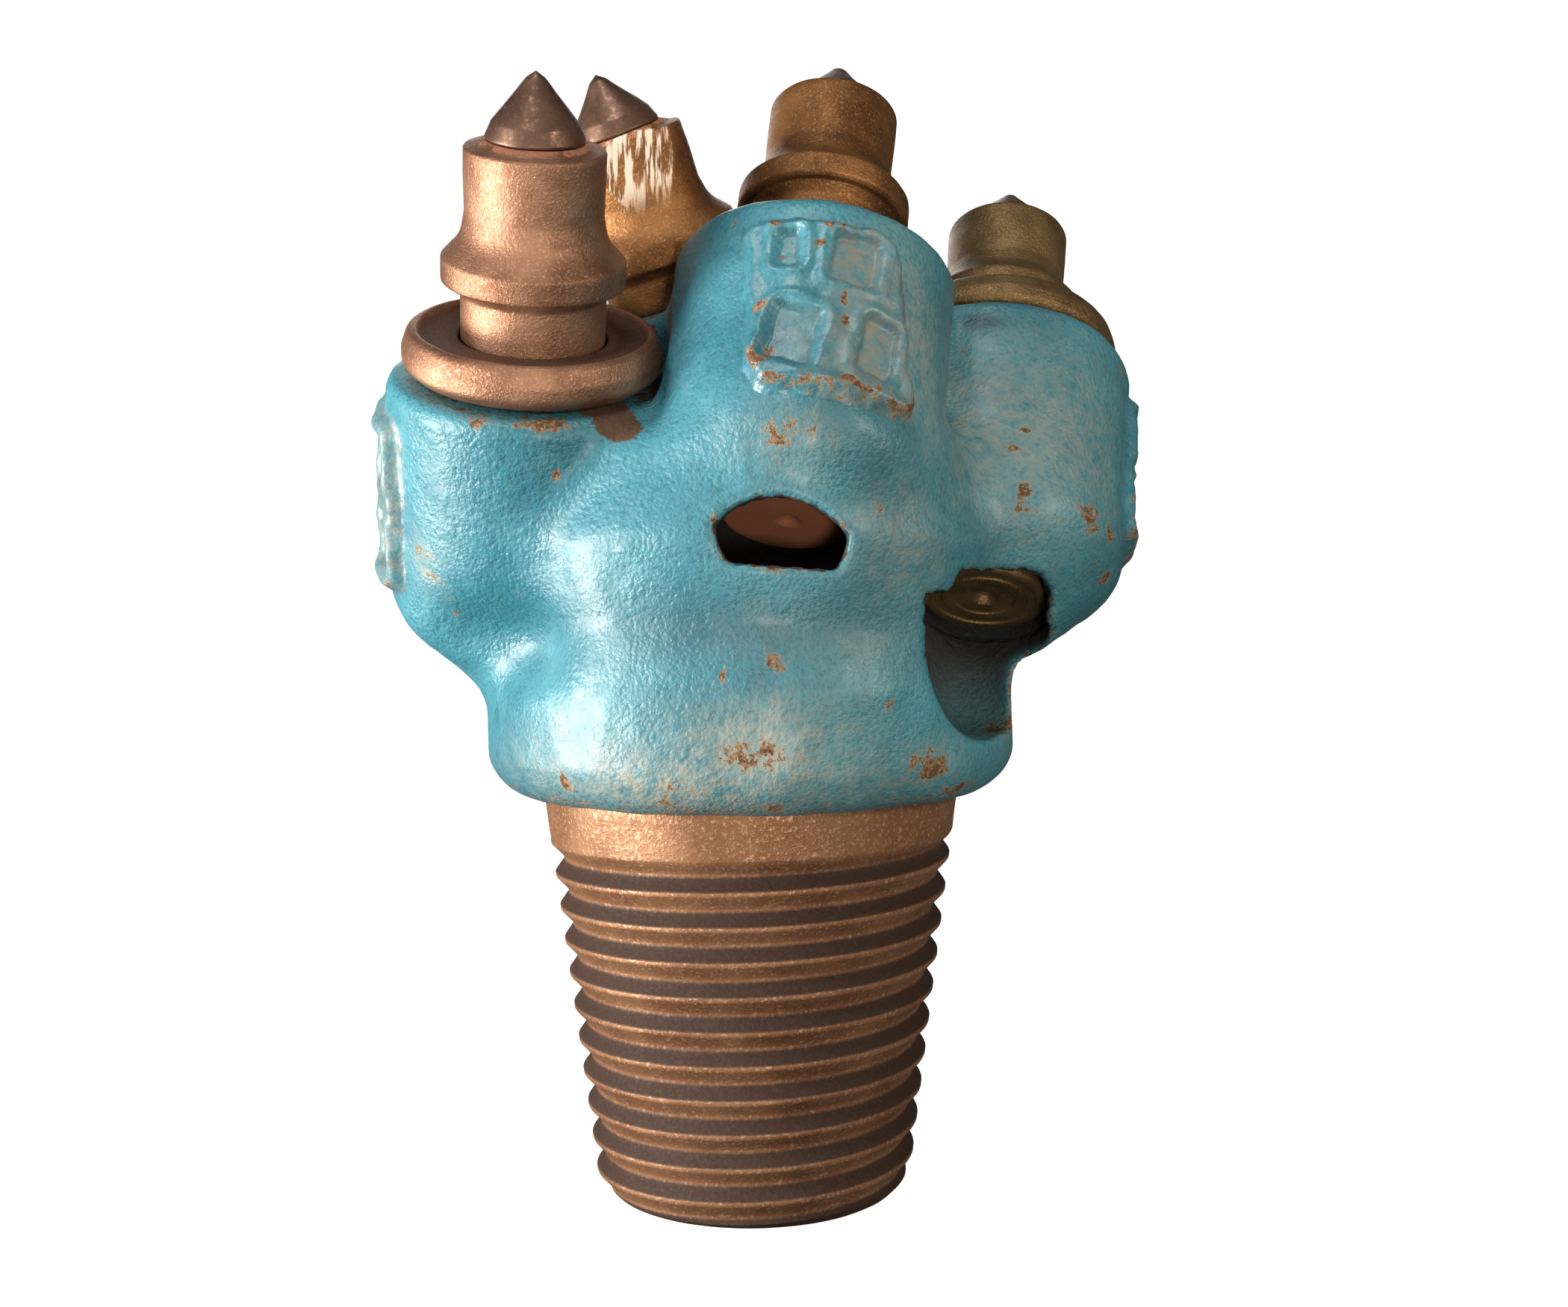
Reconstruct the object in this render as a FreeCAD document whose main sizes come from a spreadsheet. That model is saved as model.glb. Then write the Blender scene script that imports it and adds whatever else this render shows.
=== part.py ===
import FreeCAD, Part
import math
import os
import Sketcher

# Auger pilot bit: a cast head on a tapered threaded pin, with four conical picks in sleeved bores.
# Millimetres. The pin axis is Z, the pin's shoulder is at zero, and the picks point up.

os.makedirs("parts", exist_ok=True)
doc = FreeCAD.newDocument("pilot_bit")
sheet = doc.addObject("Spreadsheet::Sheet", "Sizes")

# Driving sizes
sizes = {
    # tapered pin
    "pin_large_radius": 33.34,
    "pin_taper": 0.125,
    "pin_length": 63.5,
    "pin_end_chamfer": 1.6,
    "pin_neck_length": 10.4,
    "neck_relief": 0.25,
    "spigot_radius": 24.0,
    "spigot_height": 24.0,
    # cast head
    "flange_radius": 41.8,
    "flange_corner": 7.2,
    "flange_height": 19.5,
    "drum_radius": 44.3,
    "drum_floor": 33.0,
    "drum_top": 58.5,
    "drum_round": 13.0,
    "boss_radius": 21.8,
    "boss_top_round": 2.6,
    "boss_straight": 34.0,
    "boss_end_round": 10.0,
    "boss_end_radius": 8.0,
    "boss_end_depth": 52.0,
    "bore_radius": 11.0,
    "bore_chamfer": 0.8,
    "bore_depth": 53.0,
    "open_bore_depth": 45.4,
    "collar_spotface_clearance": 1.5,
    "washer_spotface_clearance": 0.9,
    "window_floor": 36.6,
    "window_floor_width": 14.5,
    "window_width": 19.0,
    "window_side_height": 5.8,
    "window_side_round": 9.0,
    "window_height": 10.6,
    "window_arch_round": 11.8,
    "channel_radius": 10.2,
    "channel_start": 43.0,
    "channel_depth": 56.0,
    "channel_mouth_height": 15.8,
    "channel_mouth_round": 4.5,
    # pick
    "collar_radius": 13.6,
    "collar_height": 3.8,
    "collar_chamfer": 0.7,
    "flare_height": 6.5,
    "flare_round": 7.6,
    "waist_of_head_radius": 10.0,
    "head_radius": 10.25,
    "head_height": 19.8,
    "head_chamfer": 0.4,
    "neck_radius": 10.8,
    "neck_length": 13.0,
    "neck_round": 1.2,
    "shank_length": 52.2,
    "shank_recess_radius": 9.2,
    "end_flange_radius": 10.2,
    "end_flange_height": 4.2,
    "end_chamfer": 1.4,
    "centre_drill_radius": 1.3,
    "centre_drill_depth": 1.5,
    # carbide tip
    "tip_height": 11.1,
    "tip_nose_radius": 1.3,
    "tip_nose_angle": 35.4,
    "tip_flat_radius": 0.3,
    "cone_base_radius": 6.3,
    "skirt_height": 3.6,
    "skirt_radius": 6.9,
    "plug_radius": 5.4,
    "plug_depth": 5.0,
    # wear washer
    "washer_radius": 19.4,
    "washer_height": 7.7,
    "washer_foot_radius": 17.0,
    "washer_foot_round": 3.4,
    "washer_bulge_height": 3.3,
    "washer_crest_radius": 17.2,
    "washer_crest_round": 4.4,
    "washer_dish_depth": 2.6,
    "washer_hub_radius": 12.3,
    # retaining sleeve
    "sleeve_split": 3.2,
    "sleeve_end_play": 0.5,
    "sleeve_chamfer": 0.4,
    # hardfacing
    "pad_thickness": 1.9,
    "pad_angle": 64.0,
    "pad_top": 6.5,
    "pad_height": 30.0,
    "plate_width": 7.4,
    "plate_height": 9.4,
    "plate_spacing_across": 11.4,
    "plate_spacing_up": 13.6,
    "plate_thickness": 1.0,
    "plate_gap": 0.15,
    # clearances
    "running_gap": 0.1,
    "seat_gap": 0.1,
    "weld_gap": 0.1,
    "washer_bore_gap": 0.35,
    # ground flat on the rear pick
    "flat_distance": 7.6,
    "flat_tilt": 12.0,
    "rear_flat_toward": -80.0,
}

# How far a cutter runs past the face it cuts, and how near two sketch points count as one
cut_margin = 3.0
same_spot = 0.000001

# Pick stations: seat centre, compass bearing and angle of the lean, bearing of the pad and of the
# window, and how far the collar stands off its seat as photographed
stations = {
    "left": {"across": -32.5, "back": -17.1, "up": 66.6, "toward": -79.9, "lean": 24.7,
             "pad_toward": 180.0, "window_toward": 90.0, "lift": 6.3, "has_washer": True},
    "right": {"across": 42.7, "back": 15.1, "up": 69.1, "toward": 75.9, "lean": 29.9,
              "pad_toward": 6.0, "window_toward": -90.0, "lift": 1.0, "has_washer": True},
    "front": {"across": 10.9, "back": -8.0, "up": 82.4, "toward": 73.9, "lean": 25.4,
              "pad_toward": -83.5, "window_toward": -90.0, "lift": 9.5, "has_washer": False},
    "rear": {"across": -11.9, "back": 8.9, "up": 82.4, "toward": -136.2, "lean": 26.3,
             "pad_toward": 66.0, "window_toward": 90.0, "lift": 6.1, "has_washer": False},
}
station_sizes = ("across", "back", "up", "toward", "lean", "pad_toward", "window_toward", "lift")


class Formula:
    # A number together with the spreadsheet formula that gives it
    def __init__(self, text, value):
        self.text = text
        self.value = value

    def __add__(self, other):
        other = formula(other)
        return Formula(f"({self.text} + {other.text})", self.value + other.value)

    def __sub__(self, other):
        other = formula(other)
        return Formula(f"({self.text} - {other.text})", self.value - other.value)

    def __mul__(self, other):
        other = formula(other)
        return Formula(f"({self.text} * {other.text})", self.value * other.value)

    def __truediv__(self, other):
        other = formula(other)
        return Formula(f"({self.text} / {other.text})", self.value / other.value)

    def __neg__(self):
        return Formula(f"(0 - {self.text})", -self.value)


def formula(number):
    return number if isinstance(number, Formula) else Formula(str(number), number)


def sine(angle):
    return Formula(f"sin({angle.text})", math.sin(math.radians(angle.value)))


def cosine(angle):
    return Formula(f"cos({angle.text})", math.cos(math.radians(angle.value)))


def fill_sheet():
    rows = dict(sizes)
    for name, station in stations.items():
        for key in station_sizes:
            rows[f"{name}_{key}"] = station[key]
    for row, (alias, number) in enumerate(rows.items(), start=1):
        sheet.set(f"A{row}", alias)
        sheet.set(f"B{row}", str(number))
        sheet.setAlias(f"B{row}", alias)
    doc.recompute()
    return {alias: Formula(f"Sizes.{alias}", number) for alias, number in rows.items()}


size = fill_sheet()


def bind(thing, **formulas):
    for prop, number in formulas.items():
        thing.setExpression(prop, formula(number).text)


def station_place(name, along=0, spin_to=None):
    # Placement text: the seat centre of a station, Z along the pick, X toward the bearing asked for
    def cell(key):
        return size[f"{name}_{key}"].text
    turn = f"{cell(spin_to)} - {cell('toward')}" if spin_to else "0"
    seat = f"placement(vector({cell('across')}; {cell('back')}; {cell('up')}); "
    seat += f"rotation({cell('toward')}; {cell('lean')}; 0))"
    return f"{seat} * placement(vector(0; 0; {formula(along).text}); rotation({turn}; 0; 0))"


def plain_place(across, back, up):
    texts = [formula(number).text for number in (across, back, up)]
    return f"placement(vector({'; '.join(texts)}); rotation(0; 0; 0))"


def shifted(place, across, back, up):
    return f"{place} * {plain_place(across, back, up)}"


class Outline:
    # A closed half section in the XZ plane, drawn point by point: X is the radius, Y the height
    def __init__(self, body, name, across, up):
        self.sketch = body.newObject("Sketcher::SketchObject", name)
        planes = {feature.Role: feature for feature in body.Origin.OriginFeatures}
        self.sketch.AttachmentSupport = (planes["XZ_Plane"], [""])
        self.sketch.MapMode = "FlatFace"
        self.points = [(formula(across), formula(up))]
        self.pieces = []

    def line(self, across, up):
        self.pieces.append(None)
        self.points.append((formula(across), formula(up)))
        return self

    def arc(self, across, up, radius, side):
        # side is +1 where the arc bulges to the left of its travel and -1 where it bulges to the right
        self.pieces.append((formula(radius), side))
        self.points.append((formula(across), formula(up)))
        return self

    def finish(self):
        # A straight line closes the outline, unless its last piece already came back to the start
        spots = [FreeCAD.Vector(across.value, up.value, 0) for across, up in self.points]
        if spots[-1].distanceToPoint(spots[0]) < same_spot:
            self.points.pop()
        else:
            self.pieces.append(None)
            spots.append(spots[0])
        ends = []
        for start, end, piece in zip(spots, spots[1:], self.pieces):
            ends.append(self.draw(start, end, piece))
        for (geometry, first, last), (next_geometry, next_first, next_last) in zip(ends, ends[1:] + ends[:1]):
            meeting = Sketcher.Constraint("Coincident", geometry, last, next_geometry, next_first)
            self.sketch.addConstraint(meeting)
        for (geometry, first, last), (across, up) in zip(ends, self.points):
            self.pin_down(geometry, first, across, up)
        return self.sketch

    def draw(self, start, end, piece):
        if piece is None:
            geometry = self.sketch.addGeometry(Part.LineSegment(start, end), False)
            return geometry, 1, 2
        radius, side = piece
        chord = end - start
        half = chord.Length / 2
        sagitta = radius.value - math.sqrt(max(radius.value ** 2 - half ** 2, 0))
        normal = FreeCAD.Vector(-chord.y, chord.x, 0).normalize()
        middle = (start + end) * 0.5 + normal * (sagitta * side)
        # A sketch holds an arc counterclockwise, so one that bulges left is drawn from its far end
        ahead = side < 0
        arc = Part.Arc(start, middle, end) if ahead else Part.Arc(end, middle, start)
        geometry = self.sketch.addGeometry(arc, False)
        self.fix("Radius", radius, geometry)
        return (geometry, 1, 2) if ahead else (geometry, 2, 1)

    def pin_down(self, geometry, point, across, up):
        if across.value == 0:
            self.sketch.addConstraint(Sketcher.Constraint("PointOnObject", geometry, point, -2))
        else:
            self.fix("DistanceX", across, -1, 1, geometry, point)
        if up.value == 0:
            self.sketch.addConstraint(Sketcher.Constraint("PointOnObject", geometry, point, -1))
        else:
            self.fix("DistanceY", up, -1, 1, geometry, point)

    def fix(self, kind, number, *where):
        index = self.sketch.addConstraint(Sketcher.Constraint(kind, *where, number.value))
        self.sketch.setExpression(f"Constraints[{index}]", number.text)


def revolved(body, outline):
    # Turns a closed half section about Z
    turn = body.newObject("PartDesign::Revolution", f"{body.Name}_turn")
    turn.Profile = outline.finish()
    turn.ReferenceAxis = (turn.Profile[0], ["V_Axis"])
    turn.Angle = 360
    body.Tip = turn
    return body


def new_body(name, place=None):
    body = doc.addObject("PartDesign::Body", name)
    body.Label = name
    body.setExpression("Placement", place or plain_place(0, 0, 0))
    return body


def cylinder(name, place, radius, height):
    thing = doc.addObject("Part::Cylinder", name)
    bind(thing, Radius=radius, Height=height)
    thing.setExpression("Placement", place)
    return thing


def box(name, place, length, width, height):
    thing = doc.addObject("Part::Box", name)
    bind(thing, Length=length, Width=width, Height=height)
    thing.setExpression("Placement", place)
    return thing


def fused(name, things):
    thing = doc.addObject("Part::MultiFuse", name)
    thing.Shapes = things
    return thing


def cut(name, base, tool):
    thing = doc.addObject("Part::Cut", name)
    thing.Base = base
    thing.Tool = tool
    thing.Label = name
    return thing


# Threaded pin: taper at the thread's crest line, spigot up into the head
def threaded_pin():
    body = new_body("threaded_pin")
    end_radius = size["pin_large_radius"] - size["pin_taper"] * size["pin_length"]
    chamfer = size["pin_end_chamfer"]
    neck_radius = size["pin_large_radius"] - size["pin_taper"] * size["pin_neck_length"]
    outline = Outline(body, "pin_section", 0, size["spigot_height"])
    outline.line(0, -size["pin_length"])
    outline.line(end_radius - chamfer, -size["pin_length"])
    outline.line(end_radius + size["pin_taper"] * chamfer, chamfer - size["pin_length"])
    outline.line(neck_radius, -size["pin_neck_length"])
    outline.line(neck_radius - size["neck_relief"], -size["pin_neck_length"])
    outline.line(size["pin_large_radius"] - size["neck_relief"], 0)
    outline.line(size["spigot_radius"], 0)
    outline.line(size["spigot_radius"], size["spigot_height"])
    return revolved(body, outline)


# Cast head: flange and the drum above it, turned about the pin axis, which the bosses grow out of
def core():
    body = new_body("core")
    corner_start = size["flange_radius"] - size["flange_corner"]
    outline = Outline(body, "core_section", 0, 0)
    outline.line(corner_start, 0)
    outline.arc(size["flange_radius"], size["flange_corner"], size["flange_corner"], -1)
    outline.line(size["flange_radius"], size["flange_height"])
    outline.line(size["drum_radius"], size["drum_floor"])
    outline.line(size["drum_radius"], size["drum_top"] - size["drum_round"])
    outline.arc(size["drum_radius"] - size["drum_round"], size["drum_top"], size["drum_round"], -1)
    outline.line(0, size["drum_top"])
    return revolved(body, outline)


def boss(name):
    body = new_body(f"{name}_boss", station_place(name))
    slope = math.sqrt(0.5)
    round_in = size["boss_end_round"] * (1 - slope)
    round_down = size["boss_end_round"] * slope
    outline = Outline(body, f"{name}_boss_section", 0, 0)
    outline.line(0, -size["boss_end_depth"])
    outline.line(size["boss_end_radius"], -size["boss_end_depth"])
    outline.line(size["boss_radius"] - round_in, -size["boss_straight"] - round_down)
    outline.arc(size["boss_radius"], -size["boss_straight"], size["boss_end_round"], -1)
    outline.line(size["boss_radius"], -size["boss_top_round"])
    outline.arc(size["boss_radius"] - size["boss_top_round"], 0, size["boss_top_round"], -1)
    return revolved(body, outline)


def spotface(name, station):
    # The room above a seat, so that washer and collar clear the neighbouring boss
    reach = size["head_height"] + size["neck_length"]
    if station["has_washer"]:
        radius = size["washer_radius"] + size["washer_spotface_clearance"]
    else:
        radius = size["collar_radius"] + size["collar_spotface_clearance"]
    return cylinder(f"{name}_spotface", station_place(name), radius, reach)


def bore(name, depth):
    # A plain bore with a chamfered mouth, drawn downward from the seat
    body = new_body(f"{name}_bore", station_place(name))
    outline = Outline(body, f"{name}_bore_section", 0, size["bore_chamfer"])
    outline.line(0, -depth)
    outline.line(size["bore_radius"], -depth)
    outline.line(size["bore_radius"], -size["bore_chamfer"])
    outline.line(size["bore_radius"] + size["bore_chamfer"] * 2, size["bore_chamfer"])
    return revolved(body, outline)


def facing_prism(name, label, depth, height):
    # A body on the bore's axis at that depth, to be padded toward the window's bearing, with its floor
    # at the height given
    reach = depth * sine(size[f"{name}_lean"])
    across = size[f"{name}_across"] - reach * cosine(size[f"{name}_toward"])
    back = size[f"{name}_back"] - reach * sine(size[f"{name}_toward"])
    spot = f"vector({across.text}; {back.text}; {height.text})"
    turn = f"rotation({size[f'{name}_window_toward'].text} - 90; 0; 0)"
    return new_body(f"{name}_{label}", f"placement({spot}; {turn})")


def padded_outward(body, outline):
    pad = body.newObject("PartDesign::Pad", f"{body.Name}_pad")
    pad.Profile = outline.finish()
    pad.Reversed = True
    bind(pad, Length=size["flange_radius"])
    body.Tip = pad
    return body


def closed_window(name):
    # Flat floor, bulging sides and a low arch, from the foot of the bore out through the head's face
    body = facing_prism(name, "window", size["bore_depth"], size["window_floor"])
    floor = size["window_floor_width"] / 2
    half = size["window_width"] / 2
    outline = Outline(body, f"{name}_window_section", -floor, 0)
    outline.line(floor, 0)
    outline.arc(half, size["window_side_height"], size["window_side_round"], -1)
    outline.arc(0, size["window_height"], size["window_arch_round"], -1)
    outline.arc(-half, size["window_side_height"], size["window_arch_round"], -1)
    outline.arc(-floor, 0, size["window_side_round"], -1)
    return padded_outward(body, outline)


def open_channel(name):
    # Knock-out channel in line with the bore, round at its foot, and open toward one side of the head
    radius = size["channel_radius"]
    start = station_place(name, -size["channel_depth"])
    drift = cylinder(f"{name}_channel", start, radius, size["channel_depth"] - size["channel_start"])
    foot = doc.addObject("Part::Sphere", f"{name}_channel_foot")
    bind(foot, Radius=radius)
    foot.setExpression("Placement", start)
    centre_height = size[f"{name}_up"] - size["channel_depth"] * cosine(size[f"{name}_lean"])
    body = facing_prism(name, "channel_mouth", size["channel_depth"], centre_height)
    top = size["channel_mouth_height"]
    corner = size["channel_mouth_round"]
    outline = Outline(body, f"{name}_mouth_section", -radius, 0)
    outline.arc(0, -radius, radius, -1)
    outline.arc(radius, 0, radius, -1)
    outline.line(radius, top - corner)
    outline.arc(radius - corner, top, corner, -1)
    outline.line(corner - radius, top)
    outline.arc(-radius, top - corner, corner, -1)
    return [drift, foot, padded_outward(body, outline)]


def pilot_casting():
    solid = fused("casting_blank", [core()] + [boss(name) for name in stations])
    socket_height = size["spigot_height"] + cut_margin
    socket = cylinder("spigot_socket", plain_place(0, 0, -cut_margin), size["spigot_radius"], socket_height)
    cutters = [socket]
    for name, station in stations.items():
        cutters.append(spotface(name, station))
        if station["has_washer"]:
            cutters.append(bore(name, size["open_bore_depth"]))
            cutters += open_channel(name)
        else:
            cutters.append(bore(name, size["bore_depth"]))
            cutters.append(closed_window(name))
    return cut("pilot_casting", solid, fused("casting_cuts", cutters))


def collar_height_above_seat(name):
    stand_off = size[f"{name}_lift"]
    return size["washer_height"] + stand_off if stations[name]["has_washer"] else stand_off


# Pick: head, flare, collar, neck and recessed shank, turned in one piece, datum at the collar's underside
def pick_body(name):
    body = new_body(f"{name}_pick_body", station_place(name, collar_height_above_seat(name)))
    head_top = size["head_height"]
    flare_start = size["collar_height"]
    flare_end = flare_start + size["flare_height"]
    shank = size["shank_length"]
    recess_foot = size["end_flange_height"] - shank
    outline = Outline(body, f"{name}_pick_section", 0, head_top - size["plug_depth"])
    outline.line(0, size["centre_drill_depth"] - shank)
    outline.line(size["centre_drill_radius"], -shank)
    outline.line(size["end_flange_radius"] - size["end_chamfer"], -shank)
    outline.line(size["end_flange_radius"], size["end_chamfer"] - shank)
    outline.line(size["end_flange_radius"], recess_foot)
    outline.line(size["shank_recess_radius"], recess_foot)
    outline.line(size["shank_recess_radius"], -size["neck_length"])
    outline.line(size["neck_radius"], -size["neck_length"])
    outline.line(size["neck_radius"], -size["neck_round"])
    outline.arc(size["neck_radius"] + size["neck_round"], 0, size["neck_round"], 1)
    outline.line(size["collar_radius"] - size["collar_chamfer"], 0)
    outline.line(size["collar_radius"], size["collar_chamfer"])
    outline.line(size["collar_radius"], flare_start)
    outline.arc(size["waist_of_head_radius"], flare_end, size["flare_round"], 1)
    outline.line(size["head_radius"], head_top - size["head_chamfer"])
    outline.line(size["head_radius"] - size["head_chamfer"], head_top)
    outline.line(size["plug_radius"], head_top)
    outline.line(size["plug_radius"], head_top - size["plug_depth"])
    return revolved(body, outline)


def grind_flat(pick, name):
    # The rear pick's head was ground off beside its neighbour: a plane that runs out toward the flare
    head_top = collar_height_above_seat(name) + size["head_height"]
    place = station_place(name, head_top, "flat_toward")
    place += f" * placement(vector({size['flat_distance'].text}; 0; 0); "
    place += f"rotation(0; 0 - {size['flat_tilt'].text}; 0))"
    block = box(f"{name}_ground_block", shifted(place, 0, -size["head_radius"] * 2, -size["head_height"]),
                size["head_radius"], size["head_radius"] * 4, size["head_height"] * 2)
    pick.Label = f"{name}_pick_blank"
    return cut(f"{name}_pick_body", pick, block)


def carbide_tip(name):
    head_top = collar_height_above_seat(name) + size["head_height"]
    body = new_body(f"{name}_carbide_tip", station_place(name, head_top))
    outline = Outline(body, f"{name}_tip_section", 0, -size["plug_depth"])
    outline.line(size["plug_radius"], -size["plug_depth"])
    outline.line(size["plug_radius"], 0)
    outline.line(size["skirt_radius"], 0)
    outline.line(size["cone_base_radius"], size["skirt_height"])
    nose = size["tip_nose_radius"]
    nose_side = nose * cosine(size["tip_nose_angle"])
    nose_drop = nose - nose * sine(size["tip_nose_angle"])
    outline.line(size["tip_flat_radius"] + nose_side, size["tip_height"] - nose_drop)
    outline.arc(size["tip_flat_radius"], size["tip_height"], nose, -1)
    outline.line(0, size["tip_height"])
    return revolved(body, outline)


def wear_washer(name):
    body = new_body(f"{name}_wear_washer", station_place(name, size["seat_gap"]))
    hole = size["neck_radius"] + size["washer_bore_gap"]
    top = size["washer_height"] - size["seat_gap"]
    outline = Outline(body, f"{name}_washer_section", hole, 0)
    outline.line(size["washer_foot_radius"], 0)
    outline.arc(size["washer_radius"], size["washer_bulge_height"], size["washer_foot_round"], -1)
    outline.arc(size["washer_crest_radius"], top, size["washer_crest_round"], -1)
    outline.line(size["washer_hub_radius"], top - size["washer_dish_depth"])
    outline.line(hole, top - size["washer_dish_depth"])
    return revolved(body, outline)


def retaining_sleeve(name):
    # Split spring sleeve that lies in the shank's recess and grips the bore
    place = station_place(name, collar_height_above_seat(name))
    body = new_body(f"{name}_sleeve_ring", place)
    inner = size["shank_recess_radius"] + size["running_gap"]
    outer = size["bore_radius"] - size["running_gap"]
    top = -size["neck_length"] - size["sleeve_end_play"]
    foot = size["end_flange_height"] - size["shank_length"] + size["sleeve_end_play"]
    outline = Outline(body, f"{name}_sleeve_section", inner, foot)
    outline.line(outer - size["sleeve_chamfer"], foot)
    outline.line(outer, foot + size["sleeve_chamfer"])
    outline.line(outer, top - size["sleeve_chamfer"])
    outline.line(outer - size["sleeve_chamfer"], top)
    outline.line(inner, top)
    revolved(body, outline)
    slot_place = shifted(place, 0, -size["sleeve_split"] / 2, foot - cut_margin)
    slot = box(f"{name}_sleeve_slot", slot_place, outer + cut_margin,
               size["sleeve_split"], top - foot + cut_margin * 2)
    return cut(f"{name}_retaining_sleeve", body, slot)


def plate_boxes(name, label, widen, depth_in, depth_out):
    # Four upright blocks, two by two, centred on the pad; widened for windows, exact for plates
    pad_middle = -size["pad_top"] - size["pad_height"] / 2
    place = station_place(name, pad_middle, "pad_toward")
    width = size["plate_width"] + formula(widen) * 2
    height = size["plate_height"] + formula(widen) * 2
    blocks = []
    for across_side in (-1, 1):
        for up_side in (-1, 1):
            across = size["plate_spacing_across"] * across_side / 2 - width / 2
            up = size["plate_spacing_up"] * up_side / 2 - height / 2
            corner = shifted(place, depth_in, across, up)
            blocks.append(box(f"{name}_{label}_{len(blocks)}", corner, depth_out - depth_in, width, height))
    return fused(f"{name}_{label}_blocks", blocks)


def ring_sector(name, label, inner, outer):
    # Part of a ring round the boss, as tall and as wide as the pad
    place = station_place(name, -size["pad_top"] - size["pad_height"], "pad_toward")
    place += f" * placement(vector(0; 0; 0); rotation(0 - {size['pad_angle'].text} / 2; 0; 0))"
    outside = cylinder(f"{name}_{label}_outside", place, outer, size["pad_height"])
    outside.setExpression("Angle", size["pad_angle"].text)
    inside = cylinder(f"{name}_{label}_inside", place, inner, size["pad_height"])
    return cut(f"{name}_{label}_ring", outside, inside)


def hardfacing_pad(name):
    inner = size["boss_radius"] + size["weld_gap"]
    outer = inner + size["pad_thickness"]
    ring = ring_sector(name, "pad", inner, outer)
    openings = plate_boxes(name, "pad_window", size["plate_gap"], inner - cut_margin, outer + cut_margin)
    return cut(f"{name}_hardfacing_pad", ring, openings)


def wear_plates(name):
    inner = size["boss_radius"] + size["weld_gap"]
    outer = inner + size["plate_thickness"]
    plates = doc.addObject("Part::MultiCommon", f"{name}_wear_plates")
    plates.Label = f"{name}_wear_plates"
    blocks = plate_boxes(name, "plate", 0, inner - cut_margin, outer + cut_margin)
    plates.Shapes = [ring_sector(name, "plate", inner, outer), blocks]
    return plates


def build():
    pieces = [threaded_pin(), pilot_casting()]
    for name, station in stations.items():
        pick = pick_body(name)
        pieces.append(grind_flat(pick, name) if name == "rear" else pick)
        pieces.append(carbide_tip(name))
        pieces.append(retaining_sleeve(name))
        pieces.append(hardfacing_pad(name))
        pieces.append(wear_plates(name))
        if station["has_washer"]:
            pieces.append(wear_washer(name))
    return pieces


def check(pieces):
    doc.recompute()
    for thing in doc.Objects:
        if "Invalid" in thing.State or "Error" in thing.State:
            raise RuntimeError(f"{thing.Label} did not build")
    for piece in pieces:
        if not piece.Shape.isValid() or not piece.Shape.Solids:
            raise RuntimeError(f"{piece.Label} is not a sound solid")


def export(pieces):
    for piece in pieces:
        piece.Shape.exportStep(f"parts/{piece.Label}.step")
        print(piece.Label, len(piece.Shape.Solids), round(piece.Shape.Volume, 1))


parts = build()
check(parts)
export(parts)
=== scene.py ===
import math
import bmesh
import bpy
import numpy as np
from mathutils import Matrix, Vector


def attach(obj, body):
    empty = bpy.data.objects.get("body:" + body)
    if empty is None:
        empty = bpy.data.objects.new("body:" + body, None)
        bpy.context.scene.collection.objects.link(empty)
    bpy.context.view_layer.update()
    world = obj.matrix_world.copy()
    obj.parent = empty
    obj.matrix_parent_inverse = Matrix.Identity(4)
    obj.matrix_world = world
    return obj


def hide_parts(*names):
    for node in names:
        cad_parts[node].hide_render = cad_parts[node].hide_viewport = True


# Auger pilot bit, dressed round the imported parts. Settings are in millimetres; mm makes them metres.
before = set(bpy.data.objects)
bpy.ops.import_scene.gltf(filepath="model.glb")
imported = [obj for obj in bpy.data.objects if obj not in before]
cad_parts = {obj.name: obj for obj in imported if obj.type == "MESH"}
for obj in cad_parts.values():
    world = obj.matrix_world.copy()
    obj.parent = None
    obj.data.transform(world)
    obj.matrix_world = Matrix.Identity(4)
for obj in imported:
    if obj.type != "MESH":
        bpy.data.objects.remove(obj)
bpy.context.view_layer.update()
mm = 0.001
print("frame loaded:", len(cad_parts), "nodes")

# The photograph's camera
cameraSettings = {"lens": 42.083, "sensor": 36.0, "place": (0.0, -297.51, 38.43),
                  "turn": (87.006, 0.498, -1.094)}
camera = bpy.data.objects.new("camera", bpy.data.cameras.new("camera"))
camera.data.lens = cameraSettings["lens"]
camera.data.sensor_width = cameraSettings["sensor"]
camera.data.clip_start = 0.01
camera.location = Vector(cameraSettings["place"]) * mm
camera.rotation_euler = [math.radians(angle) for angle in cameraSettings["turn"]]
bpy.context.scene.collection.objects.link(camera)
bpy.context.scene.camera = camera
bpy.context.scene.view_settings.view_transform = "Standard"

# Each pick: seat centre, bearing and angle of its lean, bearings of pad and window, lift off seat or washer
stations = {
    "left": {"seat": (-32.5, -17.1, 66.6), "toward": -79.9, "lean": 24.7, "padToward": 180.0,
             "windowToward": 90.0, "lift": 6.3, "washer": True},
    "right": {"seat": (42.7, 15.1, 69.1), "toward": 75.9, "lean": 29.9, "padToward": 6.0,
              "windowToward": -90.0, "lift": 1.0, "washer": True},
    "front": {"seat": (10.9, -8.0, 82.4), "toward": 73.9, "lean": 25.4, "padToward": -83.5,
              "windowToward": -90.0, "lift": 9.5, "washer": False},
    "rear": {"seat": (-11.9, 8.9, 82.4), "toward": -136.2, "lean": 26.3, "padToward": 66.0,
             "windowToward": 90.0, "lift": 6.1, "washer": False},
}
washerHeight = 7.7


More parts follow.
